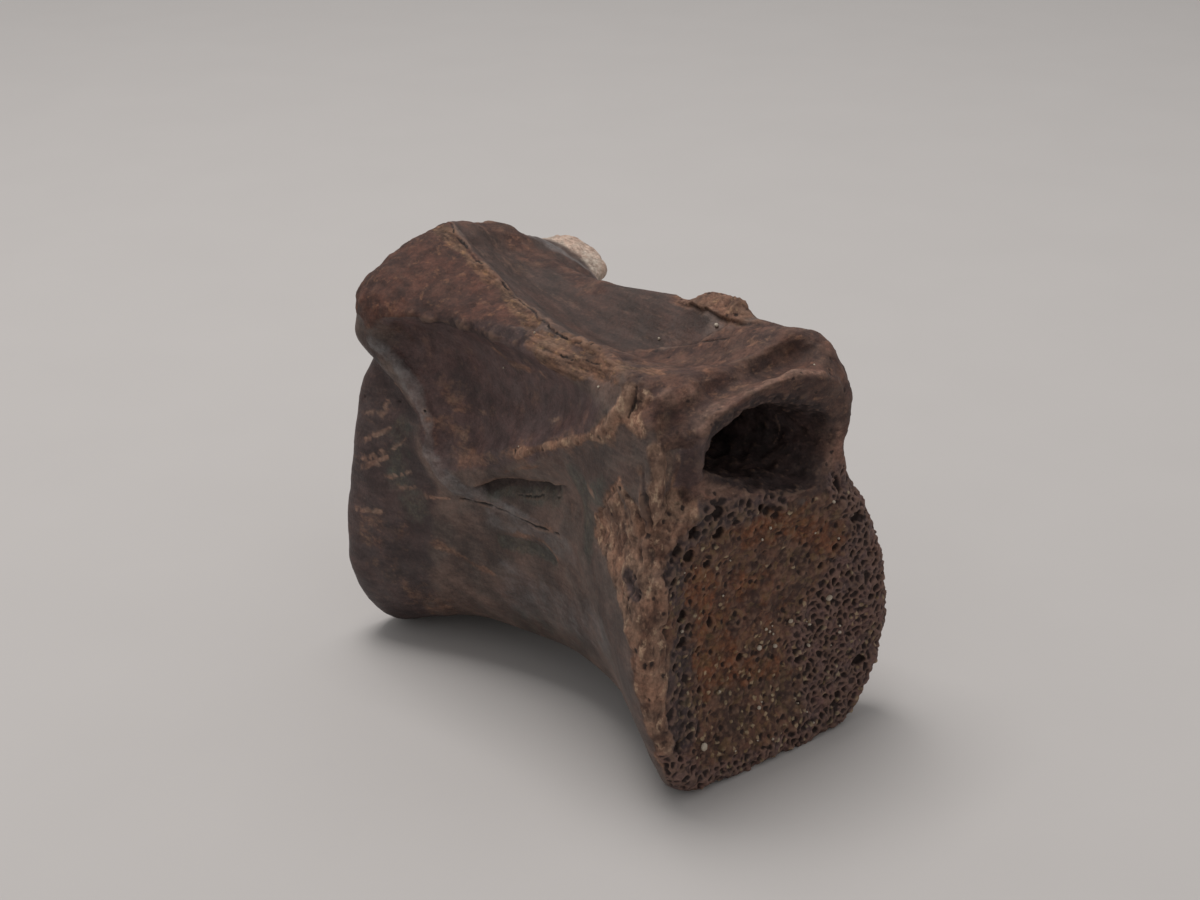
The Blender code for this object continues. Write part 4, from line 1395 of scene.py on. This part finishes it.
@dataclass(frozen=True)
class FossilBoneFinish:
    """Permineralised bone: iron- and manganese-stained apatite, worn by handling.

    The dense outer bone has a low satin sheen and faint fibres along the body. Where it is broken
    or spongy it is matt, paler and grainy. Painted shade darkens its pits, cracks, sunk hollows and
    canal. Wear and a painted highlight pale its raised edges, and a painted sheen lightens its crest
    and flanks.

    Sizes are in mm: fibre, cloud, blotch, speckle and hue are the noises that vary the colour,
    border the noise that breaks up the stains' edges, crumb the cells of the spongy end's mineral,
    crumb_tone the patches in which the pale crumbs differ, and grit the finest grain. Windows are
    the two values between which a noise or a mask takes effect. The shares say how much of each
    noise goes into a sum, and edge_middle is the middle of the two that break up an edge. harsh is
    how strong a noise's finer sizes are. Apatite's own IOR is 1.63; it is lower here because the
    handled surface is dusty and its gloss weak.
    """

    base_dark: str = "#43332e"
    base_light: str = "#695850"
    base_window: Pair = (0.38, 0.72)
    base_rough: Pair = (0.47, 0.6)
    rough_window: Pair = (0.3, 0.7)
    fibre_share: float = 0.45
    cloud_share: float = 0.65
    ior: float = 1.45
    fibre: float = 1.1
    cloud: float = 15.0
    blotch: float = 4.2
    speckle: float = 0.7
    border: float = 5.5
    crumb: float = 1.2
    crumb_tone: float = 1.6
    hue: float = 7.0
    grit: float = 0.9
    harsh: float = 0.7
    cool: Point = (0.91, 0.97, 0.98)
    warm: Point = (1.1, 1.01, 0.97)
    hue_window: Pair = (0.36, 0.64)
    speckle_share: float = 1.3
    haze_share: float = 0.5
    shade_window: Pair = (1.05, 1.75)
    shade: Pair = (0.64, 1.36)
    mottle_share: float = 0.4
    edge_middle: float = 0.7
    edge_gain: float = 1.6
    edge_window: Pair = (0.12, 0.72)
    gate_window: Pair = (0.0, 0.15)
    mottle_window: Pair = (0.36, 0.64)
    fleck_window: Pair = (0.54, 0.68)
    fleck_size: float = 0.6
    fleck_cover: float = 0.7
    # Painted shade in the pits; the spongy end's dark crumbs take this colour too.
    pit_colour: str = "#2a1d1a"
    grain_dark: str = "#75603f"
    grain_light: str = "#b3a385"
    pale_crumbs: Pair = (0.55, 1.0)
    pale_cover: float = 0.35
    dark_crumbs: Pair = (0.4, 0.0)
    dark_cover: float = 0.4
    tone_window: Pair = (0.35, 0.65)
    grain_window: Pair = (0.1, 0.7)
    grain_cover: float = 0.75
    grit_height: float = 0.22
    fibre_height: float = 0.05
    coats: tuple[Coat, ...] = (
        # Wear and a painted highlight on raised edges.
        Coat(Mark.RAISED, "#9a7a66", (0.15, 1.0), 0.32),
        # Painted shade in sunk hollows.
        Coat(Mark.SUNK, "#241a18", (0.1, 1.0), 0.5),
        # Painted shade in the pits.
        Coat(Mark.PIT, pit_colour, (0.12, 0.8), 0.9),
        # Painted shade in the cracks.
        Coat(Mark.CRACK, "#1e1512", (0.25, 0.85), 0.88),
    )
    stains: tuple[Stain, ...] = (
        Stain(Area.PLUM, "#402e2d", "#5c4745", 6.0, 0.5, "#6e5449", 0.5, 0.94),
        Stain(Area.TROUGH, "#33241f", "#4b3731", 3.0, 0.62, "#634b40", 0.4, 0.95, (1, 4, 1)),
        Stain(Area.REAR, "#312425", "#4b3c3b", 3.0, 0.58, "#5c473f", 0.6, 0.88, (1, 3, 1)),
        # Grey painted sheen on the crest and flanks; the low roughness is the polish itself.
        Stain(Area.PAINTED_SHEEN, "#544b4a", "#787170", 3.0, 0.42, "#88807d", 0.7, 0.7, (1, 2, 1)),
        Stain(Area.MOSS, "#363530", "#53524a", 2.2, 0.55, "#67624a", 0.9, 0.7),
        Stain(Area.STREAK, "#5c4338", "#8c6b58", 1.6, 0.68, "#a5846d", 1.3, 0.72, (1, 3, 1)),
        Stain(Area.DASH, "#7c5f51", "#977a69", 1.6, 0.68, "#a98c79", 0.25, 0.75, (1, 3, 1)),
        Stain(Area.BROW, "#3e2a26", "#61463b", 3.0, 0.74, "#84614d", 0.6, 0.94, (1.8, 1, 1)),
        Stain(Area.FACET, "#37231f", "#593a30", 4.4, 0.78, "#7c5843", 0.5, 0.95),
        Stain(Area.FLAKE, "#4c372c", "#7b5d4a", 1.8, 0.8, "#a07d5a", 1.0, 0.82, (1, 2.5, 1)),
        Stain(Area.STRIP, "#50372c", "#957460", 3.4, 0.74, "#c6a88c", 0.5, 0.94, (1, 1, 1.6)),
        Stain(Area.LIP, "#5a4239", "#876658", 2.0, 0.7, "#9b7a66", 0.6, 0.9, (1.6, 1, 1)),
        Stain(Area.LUMP, "#533c32", "#826251", 2.2, 0.85, "#9e7e62", 0.6, 0.9),
        Stain(Area.SPONGE, "#412c26", "#6a4c3e", 3.4, 0.8, "#835f46", 0.4, 0.95),
        Stain(Area.COARSE, "#2f2325", "#4c3c3d", 2.2, 0.7, "#665151", 0.6, 0.88),
        Stain(Area.OCHRE, "#4e3022", "#7e4f34", 2.4, 0.85, "#9c653f", 1.3, 0.8),
        Stain(Area.NETWORK, "#412f2d", "#6c5452", 1.6, 0.75, "#867069", 0.7, 0.85),
        Stain(Area.IVORY, "#9c877b", "#c6b4a6", 1.6, 0.85, "#d8c9bc", 0.3, 1.0, (1, 1, 7)),
        # Painted shade in the canal and the hollows.
        Stain(Area.PAINTED_SHADE, "#2a1f1f", "#423332", 3.0, 0.8, "#53433d", 0.05, 0.96),
    )

    def material(self) -> bpy.types.Material:
        """Builds the material.

        Returns:
            A material that reads the skin's masks by name.
        """
        nodes = Nodes("permineralised_bone")
        place = nodes.add("ShaderNodeTexCoord").outputs["Object"]
        fibre = self.mottling(nodes, place, self.fibre, detail=3.0, stretch=(1, 7, 1))
        blotch = self.mottling(nodes, place, self.blotch, detail=5.0)
        border = self.mottling(nodes, place, self.border, detail=6.0)
        cloud = self.mottling(nodes, place, self.cloud, detail=3.0)
        tone = nodes.add("ShaderNodeMath", {0: cloud, 1: self.cloud_share}, operation="MULTIPLY")
        tone = nodes.add("ShaderNodeMath", {0: fibre, 1: self.fibre_share, 2: tone.outputs[0]},
                         operation="MULTIPLY_ADD")
        colour = self.laid(nodes, tone.outputs[0], self.base_window, linear(self.base_dark),
                           linear(self.base_light))
        rough = nodes.add("ShaderNodeMapRange", {
            "Value": fibre, "From Min": self.rough_window[0], "From Max": self.rough_window[1],
            "To Min": self.base_rough[0], "To Max": self.base_rough[1],
        }).outputs[0]
        for stain in self.stains:
            colour, rough = self.stained(nodes, place, border, stain, colour, rough)
        colour = self.grained(nodes, place, colour)
        colour = self.shaded(nodes, place, blotch, cloud, colour)
        for coat in self.coats:
            found = nodes.add("ShaderNodeAttribute", attribute_name=coat.mark.value).outputs["Fac"]
            colour = self.laid(nodes, found, coat.window, colour, linear(coat.colour), coat.cover)
        shader = nodes.add("ShaderNodeBsdfPrincipled", {
            "Base Color": colour, "Roughness": rough, "IOR": self.ior,
            "Normal": self.relief(nodes, place, fibre),
        })
        nodes.add("ShaderNodeOutputMaterial", {"Surface": shader.outputs[0]})
        return nodes.material

    def mottling(self, nodes: Nodes, place: Socket, size: float, detail: float,
                 stretch: Point = (1.0, 1.0, 1.0)) -> Socket:
        """Mottling of a given size.

        Args:
            nodes: The tree to add to.
            place: The point on the bone.
            size: Size of its blotches in mm.
            detail: How many finer sizes are added.
            stretch: How much longer they are along x, y and z.

        Returns:
            The socket that gives it, from 0 to 1.
        """
        scale = [1 / part for part in stretch]
        mapped = nodes.add("ShaderNodeMapping", {"Vector": place, "Scale": scale})
        return nodes.add("ShaderNodeTexNoise", {"Vector": mapped.outputs[0], "Scale": per_mm(size),
                                                "Detail": detail,
                                                "Roughness": self.harsh}).outputs["Fac"]

    def laid(self, nodes: Nodes, found: Socket, window: Pair, under: object, over: object,
             cover: float = 1.0, within: Socket | None = None) -> Socket:
        """Lays one colour over another where a value rises through a window.

        Args:
            nodes: The tree to add to.
            found: The value, such as a mask or a noise.
            window: The values at which the upper colour starts and is full.
            under: The lower colour or its socket.
            over: The upper colour or its socket.
            cover: How fully the upper colour can hide the lower one.
            within: A mask that limits where it may lie.

        Returns:
            The mixed colour's socket.
        """
        share = nodes.add("ShaderNodeMapRange", {"Value": found, "From Min": window[0],
                                                 "From Max": window[1], "To Max": cover},
                          interpolation_type="SMOOTHSTEP").outputs[0]
        if within is not None:
            share = nodes.add("ShaderNodeMath", {0: share, 1: within}, operation="MULTIPLY").outputs[0]
        mix = nodes.add("ShaderNodeMix", {MIX_SHARE: share, MIX_COLOUR_A: under, MIX_COLOUR_B: over},
                        data_type="RGBA")
        return mix.outputs[MIX_COLOUR_OUT]

    def stained(self, nodes: Nodes, place: Socket, border: Socket, stain: Stain, colour: Socket,
                rough: Socket) -> tuple[Socket, Socket]:
        """Lays one stain over what is there.

        Args:
            nodes: The tree to add to.
            place: The point on the bone.
            border: The noise that breaks up the stains' edges.
            stain: The ground's look.
            colour: The colour so far.
            rough: The roughness so far.

        Returns:
            The new colour and roughness.
        """
        mask = nodes.add("ShaderNodeAttribute", attribute_name=stain.area.value).outputs["Fac"]
        mottle = self.mottling(nodes, place, stain.grain, detail=6.0, stretch=stain.stretch)
        both = nodes.add("ShaderNodeMath", {0: mottle, 1: self.mottle_share, 2: border},
                         operation="MULTIPLY_ADD").outputs[0]
        broken = nodes.add("ShaderNodeMath", {0: both, 1: -self.edge_middle}, operation="ADD").outputs[0]
        edge = nodes.add("ShaderNodeMath", {0: broken, 1: stain.ragged * self.edge_gain, 2: mask},
                         operation="MULTIPLY_ADD").outputs[0]
        share, gate = (
            nodes.add("ShaderNodeMapRange", {"Value": value, "From Min": window[0], "From Max": window[1]},
                      interpolation_type="SMOOTHSTEP").outputs[0]
            for value, window in ((edge, self.edge_window), (mask, self.gate_window))
        )
        share = nodes.add("ShaderNodeMath", {0: share, 1: gate}, operation="MULTIPLY").outputs[0]
        own = self.laid(nodes, mottle, self.mottle_window, linear(stain.dark), linear(stain.light))
        flecks = self.mottling(nodes, place, stain.grain * self.fleck_size, detail=6.0,
                               stretch=stain.stretch)
        own = self.laid(nodes, flecks, self.fleck_window, own, linear(stain.fleck), self.fleck_cover)
        hidden = nodes.add("ShaderNodeMath", {0: share, 1: stain.cover}, operation="MULTIPLY").outputs[0]
        mixed = nodes.add("ShaderNodeMix", {MIX_SHARE: hidden, MIX_COLOUR_A: colour, MIX_COLOUR_B: own},
                          data_type="RGBA")
        matt = nodes.add("ShaderNodeMix", {MIX_SHARE: share, MIX_VALUE_A: rough, MIX_VALUE_B: stain.rough},
                         data_type="FLOAT")
        return mixed.outputs[MIX_COLOUR_OUT], matt.outputs[0]

    def grained(self, nodes: Nodes, place: Socket, colour: Socket) -> Socket:
        """Gives the crumbs of mineral their own colours, from olive yellow to off-white.

        Args:
            nodes: The tree to add to.
            place: The point on the bone.
            colour: The colour so far.

        Returns:
            The new colour.
        """
        face = nodes.add("ShaderNodeAttribute", attribute_name=Area.SPONGE.value).outputs["Fac"]
        network = nodes.add("ShaderNodeAttribute", attribute_name=Area.NETWORK.value).outputs["Fac"]
        free = nodes.add("ShaderNodeMath", {0: face, 1: network}, operation="SUBTRACT",
                         use_clamp=True).outputs[0]
        cells = nodes.add("ShaderNodeTexVoronoi", {"Vector": place, "Scale": per_mm(self.crumb)})
        value = nodes.add("ShaderNodeSeparateColor", {0: cells.outputs["Color"]}).outputs[0]
        dark, pale = linear(self.grain_dark), linear(self.grain_light)
        colour = self.laid(nodes, value, self.pale_crumbs, colour, dark, self.pale_cover, free)
        colour = self.laid(nodes, value, self.dark_crumbs, colour, linear(self.pit_colour),
                           self.dark_cover, free)
        patches = self.mottling(nodes, place, self.crumb_tone, detail=1.0)
        own = self.laid(nodes, patches, self.tone_window, dark, pale)
        found = nodes.add("ShaderNodeAttribute", attribute_name=Mark.GRAIN.value).outputs["Fac"]
        return self.laid(nodes, found, self.grain_window, colour, own, self.grain_cover)

    def shaded(self, nodes: Nodes, place: Socket, blotch: Socket, cloud: Socket,
               colour: Socket) -> Socket:
        """Makes the colour lighter and darker, warmer and cooler, in clouds, blotches and speckles.

        Args:
            nodes: The tree to add to.
            place: The point on the bone.
            blotch: The blotches' mottling.
            cloud: The clouds' mottling.
            colour: The colour so far.

        Returns:
            The new colour.
        """
        speckle = self.mottling(nodes, place, self.speckle, detail=4.0)
        total = nodes.add("ShaderNodeMath", {0: speckle, 1: self.speckle_share, 2: blotch},
                          operation="MULTIPLY_ADD")
        total = nodes.add("ShaderNodeMath", {0: cloud, 1: self.haze_share, 2: total.outputs[0]},
                          operation="MULTIPLY_ADD")
        value = nodes.add("ShaderNodeMapRange", {
            "Value": total.outputs[0], "From Min": self.shade_window[0], "From Max": self.shade_window[1],
            "To Min": self.shade[0], "To Max": self.shade[1],
        })
        scaled = nodes.add("ShaderNodeVectorMath", {0: colour, 3: value.outputs[0]}, operation="SCALE")
        hue = self.mottling(nodes, place, self.hue, detail=5.0)
        tint = self.laid(nodes, hue, self.hue_window, (*self.cool, 1), (*self.warm, 1))
        tinted = nodes.add("ShaderNodeVectorMath", {0: scaled.outputs[0], 1: tint}, operation="MULTIPLY")
        return tinted.outputs[0]

    def relief(self, nodes: Nodes, place: Socket, fibre: Socket) -> Socket:
        """The finest grain, too small for the mesh.

        Args:
            nodes: The tree to add to.
            place: The point on the bone.
            fibre: The fibres' mottling.

        Returns:
            The bent normal's socket.
        """
        grit = self.mottling(nodes, place, self.grit, detail=5.0)
        height = nodes.add("ShaderNodeMath", {0: grit, 1: self.grit_height}, operation="MULTIPLY")
        height = nodes.add("ShaderNodeMath", {0: fibre, 1: self.fibre_height, 2: height.outputs[0]},
                           operation="MULTIPLY_ADD")
        bump = nodes.add("ShaderNodeBump", {"Strength": 1.0, "Distance": MM, "Height": height.outputs[0]})
        return bump.outputs["Normal"]


@dataclass(frozen=True)
class QuartzFinish:
    """Natural quartz sand: frosted by wear, so it is pale and softly bright instead of clear.

    patch is the size in mm over which the colour changes, about a grain or two.
    """

    patch: float = 2.0
    warm: str = "#9c8d78"
    pale: str = "#cbc1b3"
    rough: float = 0.55
    ior: float = 1.54

    def material(self) -> bpy.types.Material:
        """Builds the material.

        Returns:
            A material that is a little warmer or paler from grain to grain.
        """
        nodes = Nodes("frosted_quartz_sand")
        place = nodes.add("ShaderNodeTexCoord").outputs["Object"]
        noise = nodes.add("ShaderNodeTexNoise", {"Vector": place, "Scale": per_mm(self.patch),
                                                 "Detail": 1.0})
        mix = nodes.add("ShaderNodeMix", {MIX_SHARE: noise.outputs["Fac"], MIX_COLOUR_A: linear(self.warm),
                                          MIX_COLOUR_B: linear(self.pale)}, data_type="RGBA")
        shader = nodes.add("ShaderNodeBsdfPrincipled", {"Base Color": mix.outputs[MIX_COLOUR_OUT],
                                                        "Roughness": self.rough, "IOR": self.ior})
        nodes.add("ShaderNodeOutputMaterial", {"Surface": shader.outputs[0]})
        return nodes.material


@dataclass(frozen=True)
class PaperFinish:
    """Matt coated backdrop paper: even, pale and warm grey, with no gloss.

    patch is the size in mm of its faint unevenness.
    """

    patch: float = 40.0
    shade: str = "#bfbdbc"
    pale: str = "#c3c1c0"
    rough: float = 0.9

    def material(self) -> bpy.types.Material:
        """Builds the material.

        Returns:
            A material with a very faint mottle, so that the floor isn't dead flat.
        """
        nodes = Nodes("matt_backdrop_paper")
        place = nodes.add("ShaderNodeTexCoord").outputs["Object"]
        noise = nodes.add("ShaderNodeTexNoise", {"Vector": place, "Scale": per_mm(self.patch),
                                                 "Detail": 3.0})
        mix = nodes.add("ShaderNodeMix", {MIX_SHARE: noise.outputs["Fac"], MIX_COLOUR_A: linear(self.shade),
                                          MIX_COLOUR_B: linear(self.pale)}, data_type="RGBA")
        shader = nodes.add("ShaderNodeBsdfPrincipled", {"Base Color": mix.outputs[MIX_COLOUR_OUT],
                                                        "Roughness": self.rough})
        nodes.add("ShaderNodeOutputMaterial", {"Surface": shader.outputs[0]})
        return nodes.material


@dataclass(frozen=True)
class Studio:
    """A pale floor, soft light and the camera.

    The camera looks from azimuth and elevation, in degrees, so that the look point on the bone falls
    on its pixel of the image. Lengths are in mm: lens and sensor are the camera's own, clip the
    nearest and farthest it sees, distance how far it stands from the look point's plane, floor_half
    half the floor's side, and box_place, box_size and box_aim the softbox's middle, side and target.
    """

    azimuth: float = -39.5
    elevation: float = 24.5
    lens: float = 60.0
    sensor: float = 36.0
    image: Pair = (1200.0, 900.0)
    look_point: Point = (0.0, -48.87, 0.0)
    look_pixel: Pair = (768.0, 763.0)
    distance: float = 400.0
    clip: Pair = (10.0, 50000.0)
    floor_half: float = 4000.0
    world_colour: str = "#fefbf9"
    world_strength: float = 0.44
    box_place: Point = (-65.0, 235.0, 1150.0)
    box_aim: Point = (0.0, 0.0, 40.0)
    box_size: float = 580.0
    box_power: float = 7.8
    box_colour: str = "#fffaf6"

    def camera(self) -> None:
        """Places the camera so that the look point falls on its pixel."""
        turn, tilt = math.radians(self.azimuth), math.radians(self.elevation)
        right = Vector((math.cos(turn), math.sin(turn), 0))
        back = Vector((math.sin(turn) * math.cos(tilt), -math.cos(turn) * math.cos(tilt), math.sin(tilt)))
        up = back.cross(right)
        focal = self.lens / self.sensor * self.image[0]
        across = (self.look_pixel[0] - self.image[0] / 2) / focal
        down = (self.look_pixel[1] - self.image[1] / 2) / focal
        eye = Vector(self.look_point) + self.distance * (back - across * right + down * up)
        data = bpy.data.cameras.new("camera")
        data.lens = self.lens
        data.sensor_width = self.sensor
        data.clip_start, data.clip_end = (limit * MM for limit in self.clip)
        obj = bpy.data.objects.new("camera", data)
        bpy.context.scene.collection.objects.link(obj)
        obj.matrix_world = Matrix.Translation(eye * MM) @ Matrix((right, up, back)).transposed().to_4x4()
        bpy.context.scene.camera = obj

    def floor(self) -> None:
        """Lays a wide flat floor at the bone's feet."""
        mesh = bmesh.new()
        bmesh.ops.create_grid(mesh, x_segments=1, y_segments=1, size=self.floor_half * MM)
        data = bpy.data.meshes.new("floor")
        mesh.to_mesh(data)
        mesh.free()
        data.materials.append(PaperFinish().material())
        obj = bpy.data.objects.new("floor", data)
        bpy.context.scene.collection.objects.link(obj)

    def softbox(self) -> None:
        """Hangs a square area light high over the bone and a little behind it, facing it."""
        data = bpy.data.lights.new("softbox", "AREA")
        data.size = self.box_size * MM
        data.energy = self.box_power
        data.color = linear(self.box_colour)[:3]
        obj = bpy.data.objects.new("softbox", data)
        bpy.context.scene.collection.objects.link(obj)
        obj.location = Vector(self.box_place) * MM
        facing = Vector(self.box_aim) - Vector(self.box_place)
        obj.rotation_euler = facing.to_track_quat("-Z", "Y").to_euler()

    def surroundings(self) -> None:
        """Gives even light from all round, as pale walls do, and colours without a film curve."""
        world = bpy.data.worlds.new("studio")
        bpy.context.scene.world = world
        world.use_nodes = True
        background = world.node_tree.nodes["Background"]
        background.inputs["Color"].default_value = linear(self.world_colour)
        background.inputs["Strength"].default_value = self.world_strength
        bpy.context.scene.view_settings.view_transform = "Standard"

    def build(self) -> None:
        """Sets up the whole studio."""
        self.camera()
        self.floor()
        self.softbox()
        self.surroundings()
        LOG.info("studio: camera, floor and lights")


def main() -> None:
    """Builds the bone and its grains in the studio."""
    logging.basicConfig(level=logging.INFO, format="%(name)s: %(message)s")
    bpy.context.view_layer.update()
    Studio().build()
    bone = FossilBone().build()
    SandGrains().build(bone)


if __name__ == "__main__":
    main()
